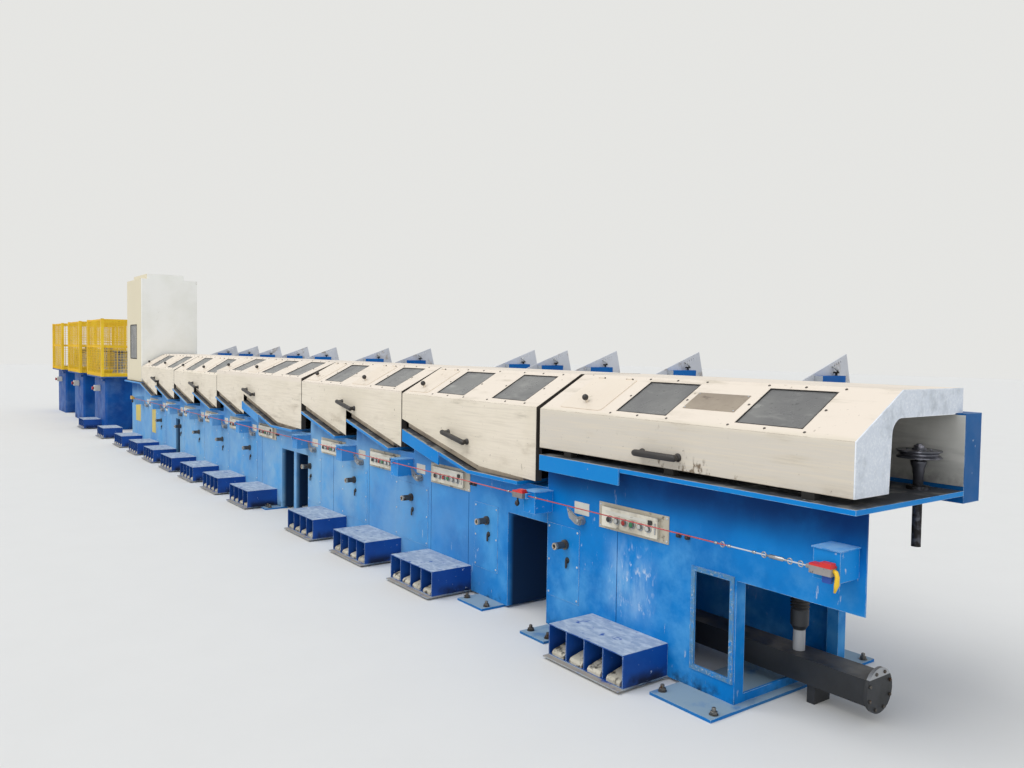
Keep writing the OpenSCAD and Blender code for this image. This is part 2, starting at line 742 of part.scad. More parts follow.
// Bracket boxes at the low ends of the tables; those between the ends carry rope eyes
bracket_w = 107;
bracket_at = -12;
first_bracket_at = -170;
bracket_h = 120;
bracket_top = 793;
near_bracket = [-125, -8, 727, 847];
bracket_out = 130;
bracket_t = 5;
rope_r = 3;
eye_w = 10;
eye_h = 30;
eye_hole_r = 7;
eye_in = 45;
function bracket_x(i) = station_x(i) + (i == 0 ? first_bracket_at : bracket_at);
module bracket_box(x0, x1, z0, z1) {
    difference() {
        union() {
            box(x0, x1, -bracket_out, 0, z0, z1);
            box(x0 - 6, x1 + 6, -bracket_out - 6, 0, z1, z1 + bracket_t);
        }
        box(x0 + bracket_t, x1 - bracket_t, -bracket_out + bracket_t, -bracket_t, z0 - 1,
            z1 - bracket_t);
    }
}
module rope_eye_lug(x, bored) {
    difference() {
        box(x, x + eye_w, -rope_out - eye_h / 2, -bracket_out + 1, rope_z - eye_h / 2,
            rope_z + eye_h / 2);
        if (bored) translate([0, -rope_out, rope_z]) round_x(eye_hole_r, x - 1, x + eye_w + 1);
    }
}
module rope_brackets() {
    color("#1b82d6") placed() {
        for (i = [0 : OUTLET]) {
            bracket_box(bracket_x(i), bracket_x(i) + bracket_w, bracket_top - bracket_h,
                bracket_top);
            if (i > 0) rope_eye_lug(bracket_x(i) + bracket_w - eye_in, i < OUTLET);
        }
        bracket_box(near_bracket[0], near_bracket[1], near_bracket[2], near_bracket[3]);
    }
}

// Switches of the pull rope on three bracket boxes, and one on each caged block; the hook
// is on the left side, or on the right one when mirrored
switch_len = 95;
switch_w = 40;
switch_h = 38;
switch_head = 12;
rope_hook = 22;
hook_r = 9;
rope_out = bracket_out + seat_gap + switch_w / 2;
module stop_switch(x, y, z, mirrored) {
    translate([x, y, z]) mirror([mirrored ? 1 : 0, 0, 0]) {
        translate([0, -switch_w / 2, -switch_h / 2]) cube([switch_len, switch_w, switch_h]);
        translate([switch_len * 0.5, -switch_w / 2, switch_h / 2 - 1])
            cube([switch_len * 0.5, switch_w - 8, switch_head + 1]);
        round_x(hook_r, -rope_hook, 1);
    }
}
switch_in = 40;
near_switch_x = near_bracket[1] - switch_len - 14;
outlet_switch_x = bracket_x(OUTLET) - switch_len + switch_in;
first_switch_x = bracket_x(0) + bracket_w - switch_in;
cage_switch_z = 930;
cage_switch_in = 160;
module stop_switches() {
    color("#b32a24") placed() {
        stop_switch(near_switch_x, -rope_out, rope_z, false);
        stop_switch(outlet_switch_x, -rope_out, rope_z, false);
        stop_switch(first_switch_x, -rope_out, rope_z, true);
        for (j = [0 : 2]) stop_switch(upright_x(j) + upright_w / 2 - cage_switch_in,
            -switch_w / 2 - seat_gap, cage_switch_z, false);
    }
}

// Taut pull rope in two stretches: from the near switch to the closed eye, then on from the
// outlet switch through the bored eyes to the first switch
function eye_right(i) = bracket_x(i) + bracket_w - eye_in + eye_w;
module pull_rope() {
    color("#d05a52") placed() translate([0, -rope_out, rope_z]) {
        round_x(rope_r, eye_right(OUTLET), near_switch_x - rope_hook);
        round_x(rope_r, first_switch_x + rope_hook, outlet_switch_x - rope_hook);
    }
}

// Control boxes: a plate on the base front with a raised box, and six buttons on the box
control_at = 600;
outlet_control_at = 746;
plate_t = 4;
control_box_w = 400;
control_box_h = 102;
control_box_d = 20;
function control_x(i) = station_x(i) + (i == OUTLET ? outlet_control_at : control_at);
control_box_left = 42;
module control_boxes() {
    color("#d9d4c4") placed() for (i = [0 : OUTLET]) translate([control_x(i), 0, control_z]) {
        box(-control_w / 2, control_w / 2, -plate_t, 0, 0, control_h);
        box(-control_w / 2 + control_box_left, -control_w / 2 + control_box_left + control_box_w,
            -plate_t - control_box_d, -plate_t, 18, 18 + control_box_h);
    }
}
button_r = 15;
button_h = 14;
button_z = control_z + 60;
first_button = -146;
module push_buttons() {
    color("#7d7f78") placed() for (i = [0 : OUTLET]) for (j = [0 : 5])
        translate([control_x(i) + first_button + j * button_pitch, 0, button_z])
            round_y(button_r, -plate_t - control_box_d - button_h, -plate_t - control_box_d);
}

// Selector levers beside the control boxes: a round hub and a pointed blade
selector_at = -388;
selector_z = 670;
hub_sel_r = 24;
hub_sel_d = 30;
module selector_levers() {
    color("#b9b6ad") placed() for (i = [0 : OUTLET])
        translate([control_x(i) + selector_at, 0, selector_z]) {
            round_y(hub_sel_r, -hub_sel_d, 0);
            along_y(-hub_sel_d - 10, -hub_sel_d + 4) polygon([
                [12, -20], [20, 12], [-30, 26], [-92, 62], [-70, 8], [-20, -18]
            ]);
        }
}

// Crank stubs low on each station: a shaft end in a collar
crank_at = 75;
gap_crank_in = 61;
long_crank_at = 1055;
outlet_crank_at = 220;
crank_r = 20;
crank_len = 84;
collar_r = 28;
collar_len = 14;
function crank_places() = concat(
    [for (i = [1 : OUTLET - 1]) i == 2 ? module_left(1) + gap_crank_in
        : i == 6 ? module_left(2) + gap_crank_in : station_x(i) + crank_at],
    [station_x(OUTLET - 1) + long_crank_at, station_x(OUTLET) + outlet_crank_at]
);
module crank_stubs() {
    color("#77706a") placed() for (x = crank_places()) translate([x, 0, crank_z]) difference() {
        union() {
            round_y(collar_r, -cover_t - collar_len, -cover_t);
            round_y(crank_r, -cover_t - crank_len, -cover_t);
        }
        round_y(crank_r - 9, -cover_t - crank_len - 1, -cover_t - crank_len + 22);
    }
}

// Service covers: thin screwed sheets behind the crank stubs
cover_t = 3;
cover_low = pedal_foot + pedal_h + 12;
cover_top = 612;
function cover_spans() = concat(
    [for (i = [1, 3, 4, 5, 7]) [station_x(i) - 170, station_x(i) + 300]],
    [[module_left(1) + 12, station_x(2) + 340], [module_left(2) + 12, station_x(6) + 340],
     [station_x(8) - 170, station_x(8) + 310], [station_x(8) + 908, module_right(2) - 108],
     [near_left + 6, near_left + 285]]
);
module service_covers() {
    color("#2a86d4") placed() for (s = cover_spans())
        box(s[0], s[1], -cover_t, 0, cover_low, cover_top);
}

// Pedal boxes: four open compartments to the front over a projecting tray
function pedal_places() = concat(
    [for (i = [0 : OUTLET - 1]) station_x(i) + 320], [station_x(OUTLET) + 450],
    [station_x(0) - 735, station_x(0) - 2200, station_x(0) - 4110]
);
bays = 4;
bay_w = (pedal_w - (bays + 1) * pedal_t) / bays;
pedal_back = -pedal_clear;
pedal_front = pedal_back - pedal_d;
bay_depth = pedal_d - 30;
bay_low = 10;
tray_t = 6;
module pedal_box(x) {
    z0 = pedal_foot;
    difference() {
        union() {
            box(x, x + pedal_w, pedal_front, pedal_back, z0, z0 + pedal_h);
            box(x - 4, x + pedal_w + 4, pedal_front - pedal_lip, pedal_back, z0, z0 + tray_t);
            for (fx = [x + 20, x + pedal_w - 60]) for (fy = [pedal_front + 20, pedal_back - 60])
                box(fx, fx + 40, fy, fy + 40, 0, z0 + 1);
        }
        for (j = [0 : bays - 1])
            box(x + pedal_t + j * (bay_w + pedal_t), x + (j + 1) * (bay_w + pedal_t),
                pedal_front - 1, pedal_front + bay_depth, z0 + bay_low, z0 + pedal_h - pedal_t);
    }
}
module pedal_boxes() {
    color("#12439a") placed() for (x = pedal_places()) pedal_box(x);
}
foot_pedal_w = 92;
foot_pedal_len = 150;
foot_pedal_h = 40;
module foot_pedals() {
    z0 = pedal_foot + bay_low;
    color("#d8cdb0") placed() for (x = pedal_places()) for (j = [0 : bays - 1])
        along_x(x + pedal_t + j * (bay_w + pedal_t) + (bay_w - foot_pedal_w) / 2,
            x + pedal_t + j * (bay_w + pedal_t) + (bay_w + foot_pedal_w) / 2)
            polygon([
                [pedal_front + 4, z0], [pedal_front + foot_pedal_len, z0],
                [pedal_front + foot_pedal_len, z0 + foot_pedal_h + 22],
                [pedal_front + 14, z0 + 26], [pedal_front + 4, z0 + 14]
            ]);
}

// Lift plates: sloped brackets behind the hoods with a row of holes, and a bar on each
lift_places = [
    -11560, -10560, -9650, -8650, -7750, -6380, -5480, -3770, -3340, -2770, -1975, -900
];
lift_t = 8;
wall_back = table_depth + wall_flange;
// Outline of a plate: foot, slanted underside to the tip, then the top over to its rear end
lift_foot = 40;
lift_low = 1215;
lift_tip = 1425;
lift_top = 1602;
lift_top_y = lift_back - 44;
lift_rear = 1456;
lift_holes = 5;
lift_hole_r = 5;
lift_hole_first = [1150, 1529];
lift_hole_step = [20, 7];
bar = [985, 1200, 1430, 1482];
bar_w = 52;
bar_knob_r = 16;
module lift_plates() {
    color("#c9ccd0") placed() for (x = lift_places) difference() {
        along_x(x, x + lift_t) polygon([
            [wall_back, lift_low], [wall_back + lift_foot, lift_low], [lift_back, lift_tip],
            [lift_top_y, lift_top], [wall_back, lift_rear]
        ]);
        for (j = [0 : lift_holes - 1]) translate([0, lift_hole_first[0], lift_hole_first[1]])
            translate([0, j * lift_hole_step[0], j * lift_hole_step[1]])
                round_x(lift_hole_r, x - 1, x + lift_t + 1);
    }
}
module lift_bars() {
    color("#0b5cab") placed() for (x = lift_places) {
        box(x + lift_t, x + lift_t + bar_w, bar[0], bar[1], bar[2], bar[3]);
        translate([x + lift_t + bar_w / 2, lift_hole_first[0], bar[3] - 1]) {
            cylinder(r = bar_knob_r - 10, h = 18);
            translate([0, 0, 14]) cylinder(r = bar_knob_r, h = 9);
        }
    }
}

// Drain under the outlet table: a corrugated spout into a square duct with an end flange
spout_x = -540;
spout_y = 400;
spout_r = 32;
spout_bands = [305, 400];
bellows = 6;
bellows_pitch = 15;
duct_low = foot_t + rail_h + 35;
duct = [-1880, -150, 320, 480, duct_low, duct_low + 115];
duct_flange = 16;
duct_flange_r = 100;
module drain_duct() {
    color("#5a5d5e") placed() {
        box(duct[0], duct[1], duct[2], duct[3], duct[4], duct[5]);
        translate([0, (duct[2] + duct[3]) / 2, (duct[4] + duct[5]) / 2])
            round_x(duct_flange_r, duct[1], duct[1] + duct_flange);
        for (x = [duct[0] + 200, duct[1] - 300])
            box(x, x + 40, duct[2] + 20, duct[3] - 20, 0, duct[4] + 1);
        translate([spout_x, spout_y, 0]) rotate_extrude() polygon(concat(
            [[0, duct[5] - 1], [spout_r - 4, duct[5] - 1], [spout_r - 4, spout_bands[0]],
             [spout_r + 10, spout_bands[0] + 22], [spout_r + 10, spout_bands[1]]],
            [for (j = [0 : bellows - 1]) for (s = [0, 1])
                [spout_r + (s == 0 ? 4 : 13), spout_bands[1] + 6 + (j + s / 2) * bellows_pitch]],
            [[spout_r + 4, spout_bands[1] + 8 + bellows * bellows_pitch],
             [spout_r + 4, near_top], [0, near_top]]
        ));
    }
}

// Tall inlet housing on the inlet table, with a shallow box on its roof
housing_front = -hood_front;
housing_pad = 8;
window_recess = 6;
// The roof box as parts of the length, then depths and height; the window from the left edge
roof_box = [0.04, 0.96, 100, 650, 80];
housing_window = [250, 710, 340, 885];
corner_r = 25;
module inlet_housing() {
    z0 = housing_table_z + housing_pad;
    color("#e6e2d8") placed() difference() {
        union() {
            translate([0, 0, z0]) linear_extrude(housing_h) difference() {
                translate([housing_left, housing_front]) square([housing_w, housing_d]);
                for (s = [0, 1]) translate([housing_left + s * housing_w, housing_front])
                    rotate(s * 90) difference() {
                        translate([-1, -1]) square(corner_r + 1);
                        translate([corner_r, corner_r]) circle(r = corner_r);
                    }
            }
            for (x = [housing_left + 60, housing_right - 120]) for (y = [0, 640])
                box(x, x + 60, y, y + 60, housing_table_z, z0 + 1);
            box(housing_left + housing_w * roof_box[0], housing_left + housing_w * roof_box[1],
                housing_front + roof_box[2], housing_front + roof_box[3],
                z0 + housing_h - 1, z0 + housing_h + roof_box[4]);
        }
        box(housing_left + housing_window[0], housing_left + housing_window[1],
            housing_front - 1, housing_front + window_recess, z0 + housing_window[2],
            z0 + housing_window[3]);
    }
}

// Upright blocks at the inlet: base, cage and drum, three times
function upright_x(j) = upright_first - j * upright_pitch;
base_round = 55;
module drum_bases() {
    color("#0d49a8") placed() for (j = [0 : 2]) translate([upright_x(j) - upright_w / 2, 0, 0]) {
        linear_extrude(upright_h - 20) union() {
            translate([base_round, 0]) square([upright_w - 2 * base_round, upright_d]);
            translate([0, base_round]) square([upright_w, upright_d - 2 * base_round]);
            for (x = [base_round, upright_w - base_round])
                for (y = [base_round, upright_d - base_round])
                    translate([x, y]) circle(r = base_round);
        }
        translate([-cage_over, cage_front, upright_h - 21])
            cube([upright_w + 2 * cage_over, cage_d, 21]);
    }
}
cage_over = (cage_w - upright_w) / 2;
cage_post = 50;
cage_rail = 45;
cage_bar_r = 4;
function bar_count(span) = floor((span - cage_post) / cage_bar_pitch);
module cage_side(span) {
    n = bar_count(span);
    for (z = [0, cage_h * 0.5, cage_h - cage_rail])
        translate([0, 0, z]) cube([span, 20, z == 0 ? cage_rail + 20 : cage_rail * 0.8]);
    for (b = [1 : n])
        translate([b * span / (n + 1) - cage_bar_r, 6, 1])
            cube([2 * cage_bar_r, 2 * cage_bar_r, cage_h - 10]);
}
module drum_cages() {
    color("#e2b413") placed() for (j = [0 : 2])
        translate([upright_x(j) - cage_w / 2, cage_front, upright_h]) {
            for (x = [0, cage_w - cage_post]) for (y = [0, cage_d - cage_post])
                translate([x, y, 0]) cube([cage_post, cage_post, cage_h]);
            translate([0, 15, 0]) cage_side(cage_w);
            translate([0, cage_d - 35, 0]) cage_side(cage_w);
            for (x = [35, cage_w - 15]) translate([x, 0, 0]) rotate([0, 0, 90]) cage_side(cage_d);
        }
}
drum_r = 330;
drum_hub_r = 90;
drum_h = 520;
drum_rim_h = 470;
module upright_blocks() {
    color("#8d9092") placed() for (j = [0 : 2])
        translate([upright_x(j), cage_front + cage_d / 2, upright_h])
            rotate_extrude() polygon([
                [0, 0], [drum_r + 60, 0], [drum_r + 60, 30], [drum_r + 20, 60], [drum_r, 120],
                [drum_r - 15, drum_rim_h - 40], [drum_r + 5, drum_rim_h - 20],
                [drum_r + 5, drum_rim_h], [drum_hub_r, drum_rim_h], [drum_hub_r, drum_h],
                [0, drum_h]
            ]);
}

base_frames();
near_frame();
foot_plates();
work_tables();
table_coamings();
rear_wall();
wall_liner();
hood_hinges();
drawing_blocks();
die_boxes();
sheave_post();
rope_brackets();
pull_rope();
stop_switches();
control_boxes();
push_buttons();
selector_levers();
crank_stubs();
service_covers();
pedal_boxes();
foot_pedals();
lift_plates();
lift_bars();
drain_duct();
inlet_housing();
drum_bases();
drum_cages();
upright_blocks();
exit_sheave();
for (k = [0 : 5]) hood(k);
for (k = [0 : 5]) windows(k);
for (i = [0 : OUTLET]) hatch(i);
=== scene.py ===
import math
import bpy
import numpy as np
from mathutils import Matrix, Vector


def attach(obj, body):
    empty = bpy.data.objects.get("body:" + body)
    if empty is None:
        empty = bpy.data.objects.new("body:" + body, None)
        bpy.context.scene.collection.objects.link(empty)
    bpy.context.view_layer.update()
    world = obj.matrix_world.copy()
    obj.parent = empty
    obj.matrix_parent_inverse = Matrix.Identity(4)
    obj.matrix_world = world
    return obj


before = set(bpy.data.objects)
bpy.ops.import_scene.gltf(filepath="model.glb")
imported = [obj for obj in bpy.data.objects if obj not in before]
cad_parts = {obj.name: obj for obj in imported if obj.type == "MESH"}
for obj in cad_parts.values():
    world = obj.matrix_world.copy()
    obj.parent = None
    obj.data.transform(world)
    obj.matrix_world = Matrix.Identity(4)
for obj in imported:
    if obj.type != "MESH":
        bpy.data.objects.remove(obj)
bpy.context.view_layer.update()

# Camera
# It stands on the operator's side beyond the wire outlet, at eye height, and looks up the line
# at the photograph's angle. Line coordinates run from the outlet end, the base front and the floor.
ZERO = np.array([10.5, -0.49735, 0.0])
EYE_HEIGHT = 1.600
heading, dip, roll = math.radians(36.16), math.radians(2.36), math.radians(0.81)
eye = Vector((1.778, -2.993, EYE_HEIGHT)) + Vector(ZERO)
ahead = Vector((
    -math.cos(heading) * math.cos(dip), math.sin(heading) * math.cos(dip), -math.sin(dip)))
level = ahead.cross(Vector((0, 0, 1))).normalized()
upright = level.cross(ahead)
right_hand = math.cos(roll) * level + math.sin(roll) * upright
head_up = math.cos(roll) * upright - math.sin(roll) * level
lens = bpy.data.cameras.new("line_camera")
lens.sensor_width = 36.0
lens.lens = 29.24
lens.clip_end = 200.0
camera = bpy.data.objects.new("line_camera", lens)
bpy.context.scene.collection.objects.link(camera)
aim = Matrix((right_hand, head_up, -ahead)).transposed().to_4x4()
camera.matrix_world = Matrix.Translation(eye) @ aim
bpy.context.scene.camera = camera

# Foot plates and anchor bolts
# Steel plates in front of and behind the base, painted with it and walked grey; each is held
# to the floor by studs with a washer and a hexagon nut.
X, Y, Z = range(3)
STATION_LENS = [0.955] * 5 + [1.615] + [0.955] * 2 + [1.615] + [2.0]
OUTLET = 9
station_x = [-sum(STATION_LENS[i:]) for i in range(OUTLET + 1)]
BASE_DEPTH = 0.870
WAYS = {
    "up": np.eye(3),
    "front": np.array([[1.0, 0, 0], [0, 0, 1], [0, -1, 0]]),
    "along": np.array([[0, 1.0, 0], [0, 0, 1], [1, 0, 0]]),
}
SIDES = {"up": (Z, 1), "front": (Y, -1), "outlet": (X, 1), "inlet": (X, -1)}


def turned(profile, around=24):
    """Rings of a turned shape: each (radius, height) of the profile goes once round the local
    third axis, at equal angles."""
    profile = np.asarray(profile, float)
    angle = np.arange(around) * 2 * np.pi / around
    return np.stack([
        profile[:, :1] * np.cos(angle), profile[:, :1] * np.sin(angle),
        np.repeat(profile[:, 1:], around, 1)
    ], -1)


def placed(rings, places, way="up"):
    """The rings turned so that their third axis points that way, then moved to each place."""
    turn = WAYS[way] if isinstance(way, str) else way
    return (np.asarray(rings) @ turn)[None] + np.asarray(places, float)[:, None, None, :]


def skin(name, rings, finish, body="line_base", smooth=False, loop=False):
    """A closed skin over stacks of rings. rings[c, m, k] is point k on ring m of copy c:
    four-cornered faces join neighbouring rings. One face closes each end of a stack, or the
    last ring joins the first in a loop."""
    copies, stack, around, _ = rings.shape
    number = np.arange(copies * stack * around).reshape(copies, stack, around)
    low, high = (number, np.roll(number, -1, 1)) if loop else (number[:, :-1], number[:, 1:])
    sides = np.stack([low, np.roll(low, -1, 2), np.roll(high, -1, 2), high], -1).reshape(-1, 4)
    ends = [] if loop else number[:, 0, ::-1].tolist() + number[:, -1].tolist()
    mesh = bpy.data.meshes.new(name)
    mesh.from_pydata((rings.reshape(-1, 3) + ZERO).tolist(), [], sides.tolist() + ends)
    mesh.polygons.foreach_set("use_smooth", [smooth] * len(sides) + [False] * len(ends))
    mesh.materials.append(finish)
    piece = bpy.data.objects.new(name, mesh)
    bpy.context.scene.collection.objects.link(piece)
    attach(piece, body)


def shade(red, green, blue):
    """A colour as it reads on the photograph, turned into Blender's linear numbers."""
    linear = [c / 12.92 if c <= 0.04045 else ((c + 0.055) / 1.055) ** 2.4
              for c in (red, green, blue)]
    return (*linear, 1.0)


def plug(tree, value, socket):
    """A number or colour is set on the socket, and another node's output is linked to it."""
    if isinstance(value, bpy.types.NodeSocket):
        tree.links.new(value, socket)
    else:
        socket.default_value = value


def over(tree, share, under, top):
    """One colour or number over another, where share is how much of the top one shows."""
    mix = tree.nodes.new("ShaderNodeMix")
    plain = isinstance(top, float)
    mix.data_type = "FLOAT" if plain else "RGBA"
    for value, index in ((share, 0), (under, 2 if plain else 6), (top, 3 if plain else 7)):
        plug(tree, value, mix.inputs[index])
    return mix.outputs[0 if plain else 2]


def ramp(tree, value, low, high):
    """0 below low, 1 above high, and a soft rise between; low above high turns it round."""
    rise = tree.nodes.new("ShaderNodeMapRange")
    rise.interpolation_type = "SMOOTHSTEP"
    plug(tree, value, rise.inputs["Value"])
    turned_round = low > high
    rise.inputs["From Min"].default_value = min(low, high)
    rise.inputs["From Max"].default_value = max(low, high)
    rise.inputs["To Min"].default_value = 1.0 if turned_round else 0.0
    rise.inputs["To Max"].default_value = 0.0 if turned_round else 1.0
    return rise.outputs["Result"]


def result_of(tree, operation, first, second):
    """What one calculation makes of two numbers or outputs."""
    node = tree.nodes.new("ShaderNodeMath")
    node.operation = operation
    plug(tree, first, node.inputs[0])
    plug(tree, second, node.inputs[1])
    return node.outputs[0]


def both(tree, *masks):
    """Where all of the masks show."""
    shown = masks[0]
    for mask in masks[1:]:
        shown = result_of(tree, "MULTIPLY", shown, mask)
    return shown


def axis_of(tree, what, axis):
    """One axis of the piece's own coordinates or of its face normal."""
    split = tree.nodes.new("ShaderNodeSeparateXYZ")
    tree.links.new(tree.nodes.new("ShaderNodeTexCoord").outputs[what], split.inputs[0])
    return split.outputs[axis]


def past(tree, axis, low, high):
    """A soft edge at a place on the line: it rises from low to high, in line coordinates."""
    return ramp(tree, axis_of(tree, "Object", axis), low + ZERO[axis], high + ZERO[axis])


def inside(tree, axis, low, high, soft=0.01):
    """Between two places on the line."""
    return both(tree, past(tree, axis, low - soft, low + soft),
                past(tree, axis, high + soft, high - soft))


def looks(tree, side, low=0.6, high=0.9):
    """Where the face looks to that side: the mask rises as its normal leans there by low to
    high."""
    axis, sign = SIDES[side]
    return ramp(tree, axis_of(tree, "Normal", axis), sign * low, sign * high)


def patches(tree, scale, low, high, stretch=(1.0, 1.0, 1.0), detail=6.0):
    """Cloudy patches, scale to the metre, narrower along an axis with a larger stretch."""
    lay = tree.nodes.new("ShaderNodeMapping")
    tree.links.new(tree.nodes.new("ShaderNodeTexCoord").outputs["Object"], lay.inputs["Vector"])
    lay.inputs["Scale"].default_value = stretch
    cloud = tree.nodes.new("ShaderNodeTexNoise")
    tree.links.new(lay.outputs[0], cloud.inputs["Vector"])
    cloud.inputs["Scale"].default_value = scale
    cloud.inputs["Detail"].default_value = detail
    cloud.inputs["Roughness"].default_value = 0.62
    return ramp(tree, cloud.outputs["Fac"], low, high)


def edges(tree, width):
    """Along the edges of the sheet, broken up in patches: there the normal rounded off over that
    width leans away from the true one."""
    rounded = tree.nodes.new("ShaderNodeBevel")
    rounded.samples = 4
    rounded.inputs["Radius"].default_value = width
    lean = tree.nodes.new("ShaderNodeVectorMath")
    lean.operation = "DOT_PRODUCT"
    tree.links.new(rounded.outputs["Normal"], lean.inputs[0])
    tree.links.new(tree.nodes.new("ShaderNodeNewGeometry").outputs["Normal"], lean.inputs[1])
    leaning = ramp(tree, lean.outputs["Value"], 0.985, 0.90)
    return both(tree, leaning, patches(tree, 14.0, 0.36, 0.56))


def coat(name, main, drift, layers=(), rough=(0.38, 0.6), metal=0.0, shine=0.5, patch=2.2,
         dent=0.1):
    """A finish that drifts between two colours in patches. Each layer over it is a colour, a
    roughness and a mask, laid on in order; a fine grain and shallow dents make the bump."""
    made = bpy.data.materials.new(name)
    made.use_nodes = True
    tree = made.node_tree
    shader = tree.nodes["Principled BSDF"]
    colour = over(tree, patches(tree, patch, 0.35, 0.68), main, drift)
    gloss = over(tree, patches(tree, 7.0, 0.3, 0.7), rough[0], rough[1])
    for top, top_rough, mask in layers:
        share = mask(tree)
        colour = over(tree, share, colour, top)
        gloss = over(tree, share, gloss, top_rough)
    plug(tree, colour, shader.inputs["Base Color"])
    plug(tree, gloss, shader.inputs["Roughness"])
    shader.inputs["Metallic"].default_value = metal
    shader.inputs["Specular IOR Level"].default_value = shine
    dents = patches(tree, 9.0, 0.2, 0.8, detail=2.0)
    grain = patches(tree, 240.0, 0.2, 0.8, detail=2.0)
    bump = tree.nodes.new("ShaderNodeBump")
    bump.inputs["Strength"].default_value = dent
    bump.inputs["Distance"].default_value = 0.002
    plug(tree, over(tree, 0.3, dents, grain), bump.inputs["Height"])
    plug(tree, bump.outputs["Normal"], shader.inputs["Normal"])
    return made


def dress(finish, *names):
    """Gives CAD nodes their finish through their own material slots."""
    for name in names:
        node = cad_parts[name]
        if not node.material_slots:
            node.data.materials.append(finish)
        for held in node.material_slots:
            held.material = finish


BLUE, BLUE_DEEP = shade(0.0, 0.48, 0.78), shade(0.0, 0.42, 0.71)
GRIME = shade(0.16, 0.17, 0.18)
MATT = 0.15
WORN = (shade(0.62, 0.72, 0.80), 0.6, lambda t: edges(t, 0.004))
foot_paint = coat("foot_plate_paint", BLUE_DEEP, shade(0.16, 0.40, 0.60), [
    (shade(0.53, 0.62, 0.68), 0.7, lambda t: both(
        t, looks(t, "up"), patches(t, 5.0, 0.26, 0.50))),
    (GRIME, 0.8, lambda t: patches(t, 9.0, 0.66, 0.76)),
    WORN,
], shine=MATT)
dress(foot_paint, "foot_plates")
anchor_steel = coat("anchor_steel", shade(0.45, 0.45, 0.44), shade(0.30, 0.27, 0.24), [
    (shade(0.36, 0.24, 0.15), 0.85, lambda t: patches(t, 60.0, 0.55, 0.65)),
], rough=(0.35, 0.6), metal=0.8)
PLATE_TOP = 0.015
HOLE_IN, HOLE_OUT = 0.030, 0.055
# Each row of holes: the plate's two ends on the line, and how far it stands out of the base
FOOT_ROWS = [
    (-12.792, -12.674, 0.165), (-10.923, -10.805, 0.165), (-9.860, -9.742, 0.165),
    (-6.262, -6.144, 0.165), (-5.425, -5.307, 0.165), (-2.650, -2.372, 0.165),
    (-1.929, -1.714, 0.205), (-0.916, -0.550, 0.205)
]
anchors = [
    (x, y, PLATE_TOP)
    for left, right, out in FOOT_ROWS for x in (left + HOLE_IN, right - HOLE_IN)
    for y in (-out + HOLE_OUT, BASE_DEPTH + out - HOLE_OUT)
]
WASHER = [(0.011, 0), (0.021, 0), (0.021, 0.003), (0.011, 0.003)]
NUT = [(0.0150, 0.003), (0.0175, 0.005), (0.0175, 0.015), (0.0150, 0.017)]
STUD = [(0.0095, -0.012), (0.0095, 0.030), (0.0075, 0.033)]
skin("anchor_washers", placed(turned(WASHER, 20), anchors), anchor_steel)
skin("anchor_nuts", placed(turned(NUT, 6), anchors), anchor_steel)
skin("anchor_studs", placed(turned(STUD, 16), anchors), anchor_steel,
     smooth=True)

# Base modules and the outlet unit
# Closed sheet boxes under the tables, sprayed blue. The far ones are dusty and pale, the last
# one is scuffed white where boots and wire rub it, and grime gathers low down.
DUST = shade(0.52, 0.69, 0.82)
SCUFF = shade(0.72, 0.77, 0.82)
GAP_SHADE = shade(0.05, 0.16, 0.28)
MODULE_PAINT_LAYERS = [
    # Dust that thickens up the line, then paint faded low down
    (DUST, 0.7, lambda t: both(t, past(t, X, -1.8, -5.0), patches(t, 1.6, 0.10, 0.72))),
    (shade(0.30, 0.60, 0.83), 0.55, lambda t: both(
        t, patches(t, 3.1, 0.45, 0.75), past(t, Z, 0.85, 0.55))),
    # Upright scuffs, grime at the floor and a darker band under the tables: a painted shadow of
    # their overhang
    (SCUFF, 0.75, lambda t: both(
        t, patches(t, 30.0, 0.62, 0.70, (1.0, 1.0, 0.30)), patches(t, 2.4, 0.50, 0.62))),
    (shade(0.10, 0.20, 0.30), 0.8, lambda t: both(
        t, past(t, Z, 0.10, 0.015), patches(t, 9.0, 0.45, 0.7))),
    (shade(0.0, 0.33, 0.60), 0.7, lambda t: both(
        t, past(t, Z, 0.72, 0.96), patches(t, 2.0, 0.3, 0.6, (1.0, 1.0, 0.3)))),
    WORN,
]
module_paint = coat("module_blue", BLUE, BLUE_DEEP, MODULE_PAINT_LAYERS + [
    # End faces in the gaps between modules, darkened low down as painted shade
    (GAP_SHADE, 0.8, lambda t: both(
        t, looks(t, "outlet"), past(t, Z, 0.62, 0.56), past(t, Y, 0.0, 0.05))),
    (GAP_SHADE, 0.8, lambda t: both(
        t, looks(t, "inlet"), past(t, Z, 0.62, 0.56), past(t, X, -12.6, -12.5))),
], dent=0.18, shine=MATT)
dress(module_paint, "base_frames")
